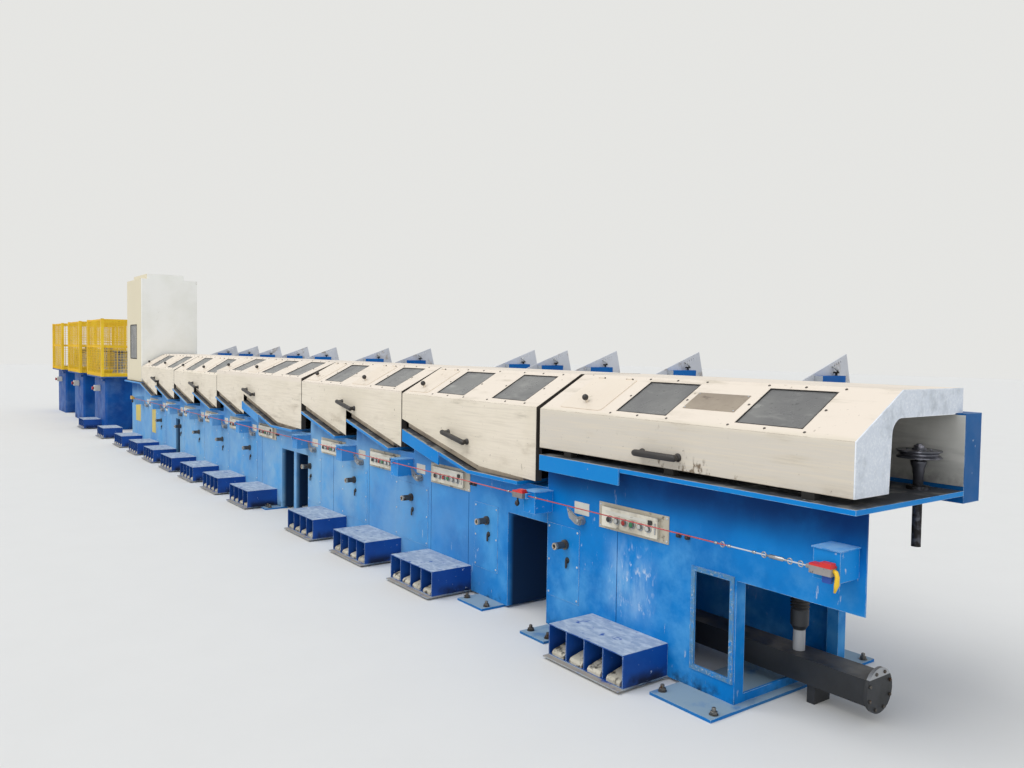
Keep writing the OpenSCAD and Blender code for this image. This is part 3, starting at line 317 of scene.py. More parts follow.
outlet_paint = coat("outlet_unit_blue", BLUE, BLUE_DEEP, MODULE_PAINT_LAYERS[1:] + [
    # A faded area above the pedal box, with white scrapes in it
    (shade(0.58, 0.74, 0.88), 0.7, lambda t: both(
        t, inside(t, X, -1.40, -1.14, 0.10), inside(t, Z, 0.26, 0.60, 0.10),
        patches(t, 5.0, 0.38, 0.72, (1.0, 1.0, 0.4)))),
    (shade(0.86, 0.89, 0.92), 0.8, lambda t: both(
        t, inside(t, X, -1.38, -1.14, 0.07), inside(t, Z, 0.26, 0.58, 0.08),
        patches(t, 44.0, 0.54, 0.62, (1.0, 1.0, 0.40)), patches(t, 6.0, 0.44, 0.62))),
    # The raised rim of the access opening, dulled and chipped to the metal
    (shade(0.34, 0.50, 0.62), 0.6, lambda t: both(
        t, inside(t, Y, -0.012, -0.001, 0.001), patches(t, 40.0, 0.30, 0.62))),
    (shade(0.66, 0.69, 0.71), 0.6, lambda t: both(
        t, inside(t, Y, -0.012, -0.0055, 0.0005), patches(t, 110.0, 0.54, 0.62),
        patches(t, 12.0, 0.42, 0.56))),
    # Painted shadow under the table's edge
    (shade(0.0, 0.21, 0.43), 0.7, lambda t: both(
        t, past(t, Z, 0.76, 0.94), patches(t, 1.4, 0.1, 0.5))),
], dent=0.18, shine=MATT)
dress(outlet_paint, "near_frame")


def quarters(steps):
    """The four quarter circles of a rectangle's round corners: the direction of each point and
    the side that its corner's centre is on."""
    angle = np.concatenate([np.linspace(q, q + 1, steps) for q in range(4)]) * np.pi / 2
    sides = np.repeat([[1, 1], [-1, 1], [-1, -1], [1, -1]], steps, 0)
    return np.stack([np.cos(angle), np.sin(angle)], -1), sides


def slab(length, height, thick, corner=0.002, edge=0.0008, steps=3):
    """Rings of a plate: a rectangle with round corners, drawn in at both faces by a small edge.
    Each corner is a quarter circle about its own centre."""
    direction, sides = quarters(steps)

    def outline(drawn_in, up):
        radius = max(corner - drawn_in, 0.0003)
        flat = sides * (np.array([length, height]) / 2 - corner) + radius * direction
        return np.concatenate([flat, np.full((len(flat), 1), up)], 1)

    return np.stack([outline(edge, 0), outline(0, edge), outline(0, thick - edge),
                     outline(edge, thick)])


seam_dark = coat("seam_dark", shade(0.0, 0.28, 0.52), shade(0.02, 0.20, 0.38), rough=(0.8, 0.9),
                 shine=MATT)
SEAM_W, SEAM_H, SEAM_OUT, SEAM_Z = 0.004, 0.60, 0.0006, 0.47
SEAMS = [-12.45, -11.50, -10.60, -9.20, -8.25, -7.30, -6.70, -4.92, -4.235, -3.263, -2.78, -1.365]
skin("module_seams", placed(slab(SEAM_W, SEAM_H, SEAM_OUT, 0.001, 0.0002), [
    (x, 0, SEAM_Z) for x in SEAMS], "front"), seam_dark)
cover_paint = coat("cover_blue", shade(0.06, 0.50, 0.79), BLUE_DEEP,
                   MODULE_PAINT_LAYERS[:4] + [WORN], dent=0.12, shine=MATT)
dress(cover_paint, "service_covers")
COVER_LOW, COVER_MIDDLE, COVER_TOP, COVER_T = 0.191, 0.40, 0.612, 0.003
COVER_SPANS = [(station_x[i] - 0.170, station_x[i] + 0.300) for i in (1, 3, 4, 5, 7)] + [
    (-9.888, station_x[2] + 0.340), (-5.473, station_x[6] + 0.340),
    (station_x[8] - 0.170, station_x[8] + 0.310), (station_x[8] + 0.908, -2.444),
    (-1.943, -1.664)
]
SCREW_IN = (0.016, 0.02)
cover_screws = [
    (x, -COVER_T, z) for left, right in COVER_SPANS
    for x in (left + SCREW_IN[0], right - SCREW_IN[0])
    for z in (COVER_LOW + SCREW_IN[1], COVER_MIDDLE, COVER_TOP - SCREW_IN[1])
]
PAN_HEAD = turned([(0.0065, 0), (0.0065, 0.0012), (0.0048, 0.003), (0.0022, 0.0036)], 12)
screw_steel = coat("screw_steel", shade(0.80, 0.83, 0.86), shade(0.62, 0.64, 0.66),
                   rough=(0.3, 0.5), metal=0.4)
skin("cover_screws", placed(PAN_HEAD, cover_screws, "front"), screw_steel,
     smooth=True)
bare_yellow = coat("bare_plate_yellow", shade(0.82, 0.72, 0.30), shade(0.72, 0.66, 0.36),
                   rough=(0.45, 0.6))
skin("yellow_plates", np.concatenate([
    placed(slab(0.230, 0.375, 0.0015), [(-11.345, 0, 0.478)], "front"),
    placed(slab(0.330, 0.320, 0.0015), [(-12.365, 0, 0.550)], "front"),
]), bare_yellow)

# Tables, stiffener strips and coamings
# Thick plates, blue on the edges; wire, oil and boots have worn their tops to grey steel. A
# coaming of bare section under each hood keeps lubricant in.
table_paint = coat("table_blue", BLUE, shade(0.06, 0.50, 0.78), [
    (DUST, 0.7, lambda t: both(t, past(t, X, -2.0, -9.5), patches(t, 1.6, 0.3, 0.8))),
    # Bare tops, polished in places and brightest along the front edge
    (shade(0.25, 0.26, 0.28), 0.45, lambda t: looks(t, "up")),
    (shade(0.46, 0.46, 0.45), 0.4, lambda t: both(t, looks(t, "up"), patches(t, 8.0, 0.5, 0.66))),
    (shade(0.60, 0.60, 0.58), 0.4, lambda t: both(
        t, looks(t, "up"), past(t, Y, -0.084, -0.093), patches(t, 16.0, 0.3, 0.5))),
    (shade(0.55, 0.60, 0.64), 0.6, lambda t: patches(t, 30.0, 0.66, 0.72)),
    WORN,
], shine=MATT)
dress(table_paint, "work_tables")
coaming_steel = coat("coaming_steel", shade(0.60, 0.55, 0.48), shade(0.38, 0.34, 0.30), [
    (shade(0.72, 0.68, 0.60), 0.6, lambda t: both(
        t, looks(t, "up", 0.5), patches(t, 6.0, 0.30, 0.6))),
    (shade(0.20, 0.18, 0.16), 0.7, lambda t: patches(t, 9.0, 0.58, 0.7, (0.4, 1.0, 1.0))),
    # Painted shadow: the last coaming, under the outlet hood, is painted near black
    (shade(0.10, 0.09, 0.08), 0.8, lambda t: past(t, X, -2.10, -1.95)),
], rough=(0.55, 0.8))
dress(coaming_steel, "table_coamings")

# Rear wall, its liner and the hood hinges
# A folded channel behind the tables, blue outside, lined with pale sheets that have gone grey
# with wire soap; the hood hinges are welded on top of it.
wall_paint = coat("rear_wall_blue", shade(0.0, 0.37, 0.64), shade(0.06, 0.33, 0.56), [
    (SCUFF, 0.7, lambda t: patches(t, 22.0, 0.66, 0.72)),
    (GRIME, 0.8, lambda t: patches(t, 4.0, 0.66, 0.85, (1.0, 1.0, 0.4))),
    WORN,
], shine=MATT)
dress(wall_paint, "rear_wall")
liner_paint = coat("liner_pale", shade(0.84, 0.84, 0.82), shade(0.74, 0.74, 0.72), [
    # Soap along the foot of the liner, and level streaks
    (shade(0.42, 0.42, 0.41), 0.7, lambda t: both(
        t, past(t, Z, 1.14, 1.03), patches(t, 5.0, 0.3, 0.6))),
    (shade(0.58, 0.58, 0.57), 0.6, lambda t: patches(t, 3.0, 0.45, 0.70, (0.3, 1.0, 2.0))),
])
dress(liner_paint, "wall_liner")
hinge_steel = coat("hinge_steel", shade(0.42, 0.44, 0.45), shade(0.30, 0.30, 0.30),
                   rough=(0.35, 0.55), metal=0.8)
dress(hinge_steel, "hood_hinges")

# Drawing blocks, die boxes and the outlet sheave
# The blocks are turned cast drums, polished by the wire; dark die boxes stand before them. The
# sheave that leads the wire out is dark steel with a bright groove, polished by the wire, with a
# painted bluish sheen over its upper part.
block_steel = coat("block_steel", shade(0.62, 0.62, 0.61), shade(0.46, 0.46, 0.45), [
    (shade(0.22, 0.22, 0.22), 0.5, lambda t: patches(t, 14.0, 0.55, 0.7)),
], rough=(0.22, 0.42), metal=0.9)
dress(block_steel, "drawing_blocks")
die_paint = coat("die_box_grey", shade(0.28, 0.29, 0.30), shade(0.20, 0.20, 0.20), [
    (shade(0.50, 0.50, 0.48), 0.5, lambda t: patches(t, 30.0, 0.6, 0.7)),
], metal=0.4)
dress(die_paint, "die_boxes")
sheave_steel = coat("sheave_steel", shade(0.36, 0.37, 0.40), shade(0.26, 0.26, 0.29), [
    # Bright upper part of the wheel: wire polish, with a painted bluish sheen
    (shade(0.58, 0.58, 0.62), 0.3, lambda t: both(
        t, past(t, Z, 1.15, 1.155), patches(t, 18.0, 0.42, 0.66))),
    (shade(0.16, 0.15, 0.15), 0.7, lambda t: both(
        t, past(t, Z, 1.08, 1.02), patches(t, 26.0, 0.4, 0.6))),
], rough=(0.28, 0.45), metal=0.7)
dress(sheave_steel, "exit_sheave", "sheave_post")
SHEAVE = np.array([-0.110, 0.615, 1.168])
SLEEVE_DOWN, SCREW_RING, SCREW_UP = 0.142, 0.055, 0.017
SLEEVE = [
    (0.0200, 0), (0.0215, 0.002), (0.0215, 0.050), (0.0245, 0.056), (0.0250, 0.076),
    (0.0330, 0.098), (0.0345, 0.108), (0.0330, 0.111)
]
skin("sheave_sleeve", placed(turned(SLEEVE, 32), [SHEAVE - (0, 0, SLEEVE_DOWN)]), sheave_steel,
     smooth=True)
skin("sheave_screws", placed(turned([(0.006, 0), (0.006, 0.0015), (0.0045, 0.003)], 12), [
    SHEAVE + (SCREW_RING * math.cos(a), SCREW_RING * math.sin(a), SCREW_UP)
    for a in np.arange(6) * math.pi / 3
]), sheave_steel, "sheave_wheel", smooth=True)

# Rope brackets, pull rope and its switches
# Folded boxes on the base front carry a red stop rope through eyes. A tensioner and hooks join
# it to the near switch, whose cap is red and whose reset lever is yellow and blue.
bracket_paint = coat("bracket_blue", shade(0.08, 0.52, 0.82), BLUE, [
    (shade(0.50, 0.68, 0.84), 0.6, lambda t: both(t, looks(t, "up"), patches(t, 12.0, 0.1, 0.7))),
    (DUST, 0.7, lambda t: both(t, past(t, X, -2.0, -9.5), patches(t, 1.6, 0.2, 0.7))),
    (SCUFF, 0.7, lambda t: patches(t, 24.0, 0.62, 0.7)),
    WORN,
], shine=MATT)
dress(bracket_paint, "rope_brackets")
rope_sheath = coat("rope_sheath", shade(0.80, 0.40, 0.38), shade(0.68, 0.26, 0.26), [
    (shade(0.50, 0.18, 0.17), 0.7, lambda t: patches(t, 300.0, 0.5, 0.6)),
    # The stretch past the clamp is bare steel
    (shade(0.74, 0.76, 0.78), 0.4, lambda t: past(t, X, -0.535, -0.530)),
], rough=(0.5, 0.7))
dress(rope_sheath, "pull_rope")
switch_cast = coat("switch_cast", shade(0.58, 0.56, 0.55), shade(0.44, 0.42, 0.42), [
    # Red heads, a yellow first switch and blue terminal boxes on the caged blocks
    (shade(0.80, 0.16, 0.14), 0.45, lambda t: inside(t, Z, 0.784, 0.86, 0.001)),
    (shade(0.76, 0.62, 0.26), 0.5, lambda t: past(t, X, -11.92, -11.98)),
    (shade(0.02, 0.31, 0.60), 0.5, lambda t: past(t, Z, 0.88, 0.90)),
    (GRIME, 0.8, lambda t: patches(t, 40.0, 0.6, 0.7)),
])
dress(switch_cast, "stop_switches")
ROPE_Y, ROPE_Z = -0.1503, 0.773
bright_steel = coat("bright_steel", shade(0.70, 0.71, 0.72), shade(0.55, 0.56, 0.57),
                    rough=(0.22, 0.4), metal=0.9)


def hoops(size, wire, around=20, wire_steps=8):
    """Rings of a closed hoop in the local first and third axes: a small circle is carried once
    round a larger one."""
    angle = np.arange(around) * 2 * np.pi / around
    small = np.arange(wire_steps) * 2 * np.pi / wire_steps
    reach = size + wire * np.cos(small)
    return np.stack([
        np.cos(angle)[:, None] * reach,
        np.broadcast_to(wire * np.sin(small), (around, wire_steps)),
        np.sin(angle)[:, None] * reach
    ], -1)


def on_rope(rings, places, way="along"):
    """The same shape at places along the pull rope."""
    return placed(rings, [(x, ROPE_Y, ROPE_Z) for x in places], way)


skin("rope_hooks", on_rope(hoops(0.011, 0.0028), (-0.555, -0.340, -0.216, -0.166), "up"),
     bright_steel, smooth=True, loop=True)
TENSIONER = [
    (0.0045, 0), (0.0045, 0.012), (0.009, 0.018), (0.009, 0.080), (0.0045, 0.086), (0.0045, 0.098)
]
skin("rope_tensioner", on_rope(turned(TENSIONER, 12), [-0.328]), bright_steel,
     smooth=True)
CLAMP = [(0.0045, 0), (0.0065, 0.002), (0.0065, 0.016), (0.0045, 0.018)]
skin("rope_clamps", on_rope(turned(CLAMP, 10), (-0.600, -0.528, -0.398, -1.880, -2.140)),
     bright_steel, smooth=True)


def bent(path, radius, around=12):
    """Rings of a bar that follows a path: each ring stands square to the path there, with its
    first axis kept near one fixed side. The radius may change from point to point."""
    path = np.asarray(path, float)
    run = np.gradient(path, axis=0)
    run /= np.linalg.norm(run, axis=1, keepdims=True)
    side = np.cross(run, [0.13, 0.97, 0.21])
    side /= np.linalg.norm(side, axis=1, keepdims=True)
    rise = np.cross(run, side)
    angle = np.arange(around) * 2 * np.pi / around
    size = np.broadcast_to(np.asarray(radius, float), len(path))[:, None, None]
    ring = np.cos(angle)[:, None] * side[:, None] + np.sin(angle)[:, None] * rise[:, None]
    return (path[:, None] + size * ring)[None]


lever_yellow = coat("lever_yellow", shade(0.90, 0.74, 0.16), shade(0.80, 0.62, 0.12))
lever_blue = coat("lever_blue", shade(0.10, 0.28, 0.62), shade(0.07, 0.20, 0.48))
knob_black = coat("knob_black", shade(0.10, 0.10, 0.10), shade(0.16, 0.15, 0.15),
                  rough=(0.3, 0.5))
skin("near_reset_lever", bent([
    (-0.024, ROPE_Y, 0.776), (-0.012, ROPE_Y, 0.772), (-0.006, ROPE_Y, 0.755),
    (-0.008, ROPE_Y, 0.725), (-0.016, ROPE_Y, 0.694)
], [0.008, 0.009, 0.009, 0.010, 0.004]), lever_yellow, smooth=True)
skin("near_reset_plate", placed(slab(0.040, 0.030, 0.014, 0.004, 0.001), [
    (-0.048, -0.143, 0.739)], "front"), lever_blue)
skin("rope_switch_handles", np.concatenate([bent([
    (x, ROPE_Y, 0.756), (x, ROPE_Y, 0.738), (x, ROPE_Y - 0.003, 0.728),
    (x, ROPE_Y - 0.004, 0.714), (x, ROPE_Y - 0.004, 0.702)
], [0.005, 0.005, 0.012, 0.015, 0.006]) for x in (-2.040, -12.045)]), knob_black,
     smooth=True)

# Control boxes
# Beige sheet plates with a flat box, a blank label strip, six buttons in metal collars, a small
# socket and a latch; two cable glands sit in the base beside each.
control_x = [station_x[i] + (0.746 if i == OUTLET else 0.600) for i in range(OUTLET + 1)]
PLATE_FRONT, BOX_FRONT, BUTTON_FRONT = -0.004, -0.024, -0.038
BUTTON_X, BUTTON_Z = -0.146 + 0.056 * np.arange(6), 0.722
LABEL_X, LABEL_Z = -0.030, 0.757
SOCKET_X, SOCKET_Z = 0.146, 0.755
LATCH_X, LATCH_Z = 0.178, 0.728
PLATE_SCREW_X, PLATE_SCREW_Z = 0.238, (0.674, 0.788)
control_paint = coat("control_beige", shade(0.74, 0.71, 0.64), shade(0.64, 0.61, 0.54), [
    (shade(0.34, 0.31, 0.27), 0.8, lambda t: patches(t, 16.0, 0.56, 0.68)),
    (shade(0.86, 0.84, 0.78), 0.5, lambda t: both(
        t, past(t, Y, -0.018, -0.022), patches(t, 5.0, 0.3, 0.6))),
])
dress(control_paint, "control_boxes")
button_shell = coat("button_shell", shade(0.46, 0.46, 0.44), shade(0.34, 0.34, 0.33),
                    rough=(0.35, 0.55))
dress(button_shell, "push_buttons")


def on_boxes(rings, dx, z, y=BOX_FRONT):
    """The same shape on the front of every control box, at offsets dx from the plate's middle."""
    return placed(rings, [(x + d, y, z) for x in control_x for d in dx], "front")


COLLAR = [(0.0151, 0), (0.0205, 0), (0.0205, 0.003), (0.0185, 0.005), (0.0151, 0.005)]
skin("button_collars", on_boxes(turned(COLLAR), BUTTON_X, BUTTON_Z), bright_steel,
     smooth=True)
CAP = turned([(0.0125, 0), (0.0125, 0.0015), (0.009, 0.0035), (0.003, 0.0042)], 16)
for colour_name, colour, dark, columns in (
        ("black", shade(0.09, 0.09, 0.09), shade(0.15, 0.14, 0.14), [0]),
        ("red", shade(0.66, 0.14, 0.12), shade(0.50, 0.10, 0.09), [2]),
        ("green", shade(0.18, 0.50, 0.30), shade(0.12, 0.40, 0.24), [3]),
        ("pale", shade(0.76, 0.76, 0.74), shade(0.62, 0.62, 0.60), [1, 4, 5])):
    cap = coat("cap_" + colour_name, colour, dark, [
        (GRIME, 0.7, lambda t: patches(t, 70.0, 0.6, 0.7))], rough=(0.25, 0.45))
    skin("button_caps_" + colour_name, on_boxes(CAP, BUTTON_X[columns], BUTTON_Z, BUTTON_FRONT),
         cap, smooth=True)
label_white = coat("label_white", shade(0.84, 0.83, 0.79), shade(0.76, 0.75, 0.70), [
    (shade(0.50, 0.46, 0.40), 0.7, lambda t: patches(t, 30.0, 0.62, 0.72))])
skin("label_strips", on_boxes(slab(0.300, 0.016, 0.001, 0.001, 0.0002), [LABEL_X], LABEL_Z),
     label_white)
skin("box_sockets", on_boxes(slab(0.026, 0.022, 0.008, 0.003, 0.001), [SOCKET_X], SOCKET_Z),
     knob_black)
skin("box_latches", on_boxes(slab(0.008, 0.056, 0.004, 0.002, 0.001), [LATCH_X], LATCH_Z),
     bright_steel)
skin("plate_screws", np.concatenate([
    on_boxes(PAN_HEAD, [-PLATE_SCREW_X, PLATE_SCREW_X], z, PLATE_FRONT) for z in PLATE_SCREW_Z
]), screw_steel, smooth=True)
GLAND = turned([(0.013, 0), (0.013, 0.006), (0.0095, 0.008), (0.0105, 0.018), (0.006, 0.022)], 6)
gland_x = [x + d for x in control_x
           for d in ((0.317, 0.372) if x == control_x[OUTLET] else (0.275, 0.315))]
skin("cable_glands", placed(GLAND, [(x, 0, BUTTON_Z) for x in gland_x], "front"), knob_black)

# Selector levers
# A pointed cast lever on a round hub, with a plain pale plate above it on the base front.
lever_cast = coat("lever_cast", shade(0.66, 0.67, 0.68), shade(0.48, 0.48, 0.48), [
    (shade(0.26, 0.25, 0.24), 0.8, lambda t: patches(t, 50.0, 0.56, 0.66))
], rough=(0.3, 0.5), metal=0.5)
dress(lever_cast, "selector_levers")
SELECTOR_PLATE = np.array([-0.396, 0, 0.734])
SELECTOR_HUB = np.array([-0.388, -0.040, 0.670])
HUB_CAP = turned([(0.012, 0), (0.012, 0.003), (0.009, 0.006), (0.002, 0.007)], 16)
skin("selector_plates", placed(slab(0.122, 0.068, 0.002, 0.003), [
    SELECTOR_PLATE + (x, 0, 0) for x in control_x], "front"), label_white)
skin("selector_caps", placed(HUB_CAP, [SELECTOR_HUB + (x, 0, 0) for x in control_x], "front"),
     bright_steel, smooth=True)

# Crank stubs and cover locks
# Bare shaft ends for a hand crank, rusty brown with wear, and a black drop lock under each.
stub_steel = coat("stub_steel", shade(0.40, 0.38, 0.36), shade(0.28, 0.26, 0.25), [
    (shade(0.74, 0.70, 0.64), 0.35, lambda t: both(
        t, past(t, Y, -0.068, -0.080), patches(t, 30.0, 0.22, 0.5))),
    (shade(0.34, 0.22, 0.14), 0.85, lambda t: patches(t, 35.0, 0.58, 0.68)),
], rough=(0.35, 0.6), metal=0.7)
dress(stub_steel, "crank_stubs")
crank_x = [station_x[i] + 0.075 for i in (1, 3, 4, 5, 7, 8)] + [
    -9.839, -5.424, station_x[8] + 1.055, station_x[OUTLET] + 0.220]
LOCK = np.array([0.018, -COVER_T, 0.424])
DROP_HANDLE = LOCK - (0, 0.008, 0.020)
ROSETTE = turned([(0.017, 0), (0.017, 0.004), (0.012, 0.008), (0.004, 0.009)], 16)
skin("lock_rosettes", placed(ROSETTE, [LOCK + (x, 0, 0) for x in crank_x], "front"), knob_black,
     smooth=True)
skin("lock_handles", placed(slab(0.014, 0.050, 0.006, 0.006, 0.001), [
    DROP_HANDLE + (x, 0, 0) for x in crank_x], "front"), knob_black)

# Pedal boxes
# Welded sheet boxes in a darker blue, walked grey on top, with beige pedals in their bays and a
# tray whose lip is worn to bare metal.


def walked(tree, worn):
    """The worn patches that lie on top of a pedal box."""
    return both(tree, looks(tree, "up"), past(tree, Z, 0.15, 0.17), worn)


pedal_paint = coat("pedal_box_blue", shade(0.06, 0.29, 0.60), shade(0.03, 0.23, 0.52), [
    (shade(0.58, 0.64, 0.72), 0.65, lambda t: walked(t, patches(t, 3.0, 0.05, 0.46))),
    (shade(0.72, 0.76, 0.80), 0.6, lambda t: walked(
        t, patches(t, 30.0, 0.40, 0.66, (0.5, 1.0, 1.0)))),
    (shade(0.16, 0.32, 0.60), 0.6, lambda t: walked(t, patches(t, 16.0, 0.58, 0.70))),
    # The tray's worn lip, and painted shade low down at the back of the bays
    (shade(0.60, 0.58, 0.55), 0.6, lambda t: both(
        t, past(t, Z, 0.022, 0.018), patches(t, 12.0, 0.25, 0.5))),
    (shade(0.04, 0.09, 0.20), 0.8, lambda t: both(
        t, past(t, Z, 0.10, 0.03), past(t, Y, -0.30, -0.24), patches(t, 7.0, 0.3, 0.6))),
    (SCUFF, 0.7, lambda t: patches(t, 40.0, 0.67, 0.71)),
    WORN,
], shine=0.3)
dress(pedal_paint, "pedal_boxes")
pedal_pad = coat("pedal_pad", shade(0.76, 0.74, 0.68), shade(0.60, 0.58, 0.52), [
    (shade(0.24, 0.23, 0.21), 0.8, lambda t: patches(t, 24.0, 0.5, 0.65))
], rough=(0.5, 0.7), dent=0.2)
dress(pedal_pad, "foot_pedals")

# Lift plates and their bars
# Pale bevelled plates stand up behind the hoods, each with a row of stop holes, a blue bar with
# a cut grey end and a bent lever that catches in the holes.
plate_paint = coat("lift_plate_grey", shade(0.82, 0.83, 0.85), shade(0.75, 0.76, 0.78), [
    (shade(0.60, 0.55, 0.49), 0.8, lambda t: patches(t, 9.0, 0.54, 0.72)),
    (shade(0.40, 0.35, 0.30), 0.8, lambda t: patches(t, 26.0, 0.66, 0.73))])
dress(plate_paint, "lift_plates")
bar_paint = coat("lift_bar_blue", shade(0.02, 0.40, 0.70), shade(0.02, 0.33, 0.62), [
    # The cut front end, and the black knob on top
    (shade(0.66, 0.68, 0.70), 0.5, lambda t: looks(t, "front")),
    (shade(0.10, 0.10, 0.10), 0.4, lambda t: past(t, Z, 1.4825, 1.4835)),
], shine=MATT)
dress(bar_paint, "lift_bars")
LIFT_X = (-11.560, -10.560, -9.650, -8.650, -7.750, -6.380, -5.480, -3.770, -3.340, -2.770,
          -1.975, -0.900)
CATCH = np.array([
    (0.034, 1.170, 1.498), (0.034, 1.160, 1.512), (0.026, 1.152, 1.524), (0.014, 1.150, 1.529),
    (-0.004, 1.150, 1.529)
])
CATCH_RADII = [0.006, 0.006, 0.005, 0.0042, 0.004]
skin("stop_catches", np.concatenate([bent(CATCH + (x, 0, 0), CATCH_RADII) for x in LIFT_X]),
     bright_steel, smooth=True)

# Drain
# A black corrugated sleeve under the outlet table runs into a grey reducer, a bright pipe and a
# square dark duct with a round end flange.
drain_plastic = coat("drain_grey", shade(0.17, 0.18, 0.20), shade(0.12, 0.13, 0.14), [
    # The black sleeve, the bright pipe below the reducer and dust on top of the duct
    (shade(0.10, 0.10, 0.11), 0.6, lambda t: past(t, Z, 0.40, 0.41)),
    (shade(0.62, 0.63, 0.64), 0.35, lambda t: both(
        t, past(t, Z, 0.206, 0.208), past(t, Z, 0.306, 0.302))),
    (shade(0.40, 0.38, 0.35), 0.8, lambda t: both(
        t, looks(t, "up", 0.5), patches(t, 6.0, 0.4, 0.7))),
])
dress(drain_plastic, "drain_duct")
FLANGE, BOLT_RING = np.array([-0.134, 0.400, 0.1475]), 0.084
BOLT_HEAD = turned([(0.007, 0), (0.008, 0.001), (0.008, 0.006), (0.007, 0.007)], 6)
skin("flange_bolts", placed(BOLT_HEAD, [
    FLANGE + (0, BOLT_RING * math.cos(a), BOLT_RING * math.sin(a))
    for a in (np.arange(8) + 0.5) * math.pi / 4
], "along"), anchor_steel)

# Tall inlet housing
# A cabinet of white sheet with a cream front, a grey pane in a rubber frame and a shallow box
# on its roof.
cabinet_paint = coat("cabinet_white", shade(0.94, 0.94, 0.92), shade(0.91, 0.91, 0.88), [
    (shade(0.84, 0.80, 0.69), 0.5, lambda t: looks(t, "front", 0.5)),
    (shade(0.72, 0.70, 0.64), 0.7, lambda t: patches(t, 12.0, 0.68, 0.78)),
])
dress(cabinet_paint, "inlet_housing")
pane_smoke = coat("pane_smoke", shade(0.46, 0.46, 0.45), shade(0.38, 0.38, 0.38), [
    # Lighter level streaks across the pane: a painted reflection
    (shade(0.60, 0.60, 0.58), 0.6, lambda t: patches(t, 10.0, 0.5, 0.75, (0.4, 1.0, 1.0))),
    (shade(0.30, 0.30, 0.30), 0.5, lambda t: patches(t, 28.0, 0.62, 0.70))
], rough=(0.22, 0.42))
rubber = coat("rubber_seal", shade(0.09, 0.09, 0.09), shade(0.13, 0.12, 0.12), rough=(0.6, 0.8))


def seal(length, height, wide, thick, corner=0.010):
    """Rings of a four-sided frame: its small square section is carried once round a rectangle
    with round corners."""
    direction, sides = quarters(4)
    middles = sides * (np.array([length, height]) / 2 - corner)
    section = np.array([(0, 0), (0, thick), (wide, thick), (wide, 0)])
    return np.concatenate([
        middles[:, None] + direction[:, None] * (corner + section[None, :, :1]),
        np.broadcast_to(section[None, :, 1:], (len(middles), 4, 1))
    ], -1)


PANE_MIDDLE = [((-12.680 - 12.220) / 2, -0.0440, (1.370 + 1.915) / 2)]
skin("housing_pane", placed(slab(0.456, 0.541, 0.003), PANE_MIDDLE, "front"), pane_smoke)
skin("housing_seal", placed(seal(0.430, 0.515, 0.014, 0.0075), PANE_MIDDLE, "front"), rubber,
     loop=True)

# Caged upright blocks
# Dark blue bases with a wide top plate carry cast drums behind yellow cages; welded wire mesh
# fills each cage side, and a white switch box with a red cap stands out of each base's front.
drum_base_paint = coat("drum_base_blue", shade(0.02, 0.31, 0.60), shade(0.0, 0.24, 0.52), [
    (shade(0.30, 0.44, 0.64), 0.6, lambda t: patches(t, 1.3, 0.5, 0.8)),
    (GRIME, 0.8, lambda t: both(t, past(t, Z, 0.15, 0.0), patches(t, 5.0, 0.4, 0.7)))
], shine=MATT)
dress(drum_base_paint, "drum_bases")
cage_paint = coat("cage_yellow", shade(0.93, 0.78, 0.12), shade(0.89, 0.72, 0.08), [
    (shade(0.50, 0.40, 0.16), 0.7, lambda t: patches(t, 18.0, 0.62, 0.72))])
dress(cage_paint, "drum_cages")
dress(block_steel, "upright_blocks")
FIRST_CAGE, CAGE_PITCH = station_x[0] - 3.685, 2.350
CAGE_W, CAGE_D, CAGE_H, CAGE_LOW, CAGE_FRONT = 1.460, 1.360, 1.065, 1.000, -0.100
WIRE, WIRE_PITCH, WIRE_END, MESH_IN = 0.0024, 0.050, 0.010, 0.011


def wires(length, across):
    """Rings of straight square wires along the local third axis, side by side along the first."""
    count = int(across / WIRE_PITCH)
    offsets = (np.arange(count) - (count - 1) / 2) * WIRE_PITCH
    bar = turned([(WIRE, 0), (WIRE, length)], 4)
    return bar[None] + np.stack([offsets, 0 * offsets, 0 * offsets], -1)[:, None, None]


def mesh_panel(width, middle, turn):
    """Upright and level wires over one side of a cage, turned about the upright axis. The level
    ones are upright wires laid over by a quarter turn."""
    run = width - 2 * WIRE_END
    laid_over = np.array([[0, 0, -1.0], [0, 1, 0], [1, 0, 0]])
    level_wires = wires(run, CAGE_H) @ laid_over + np.array([-run / 2, WIRE, CAGE_H / 2])
    upright_wires = wires(CAGE_H - 2 * WIRE_END, width) + np.array([0, -WIRE, WIRE_END])
    swing = np.array([
        [math.cos(turn), math.sin(turn), 0], [-math.sin(turn), math.cos(turn), 0], [0, 0, 1]])
    return np.concatenate([upright_wires, level_wires]) @ swing + np.array(middle)


for j in range(3):
    x = FIRST_CAGE - j * CAGE_PITCH
    y = CAGE_FRONT + CAGE_D / 2
    skin(f"cage_mesh_{j + 1}", np.concatenate([
        mesh_panel(CAGE_W, (x, CAGE_FRONT + MESH_IN, CAGE_LOW), 0.0),
        mesh_panel(CAGE_W, (x, CAGE_FRONT + CAGE_D - MESH_IN, CAGE_LOW), math.pi),
        mesh_panel(CAGE_D, (x + CAGE_W / 2 - MESH_IN, y, CAGE_LOW), math.pi / 2),
        mesh_panel(CAGE_D, (x - CAGE_W / 2 + MESH_IN, y, CAGE_LOW), -math.pi / 2),
    ]), cage_paint)
cage_switches = [(FIRST_CAGE + 0.030 - j * CAGE_PITCH, 0, 0.765) for j in range(3)]
skin("cage_switch_boxes", placed(slab(0.100, 0.110, 0.105, 0.012, 0.004), cage_switches, "front"),
     label_white)
red_cap = coat("cap_signal_red", shade(0.68, 0.16, 0.18), shade(0.54, 0.12, 0.14))
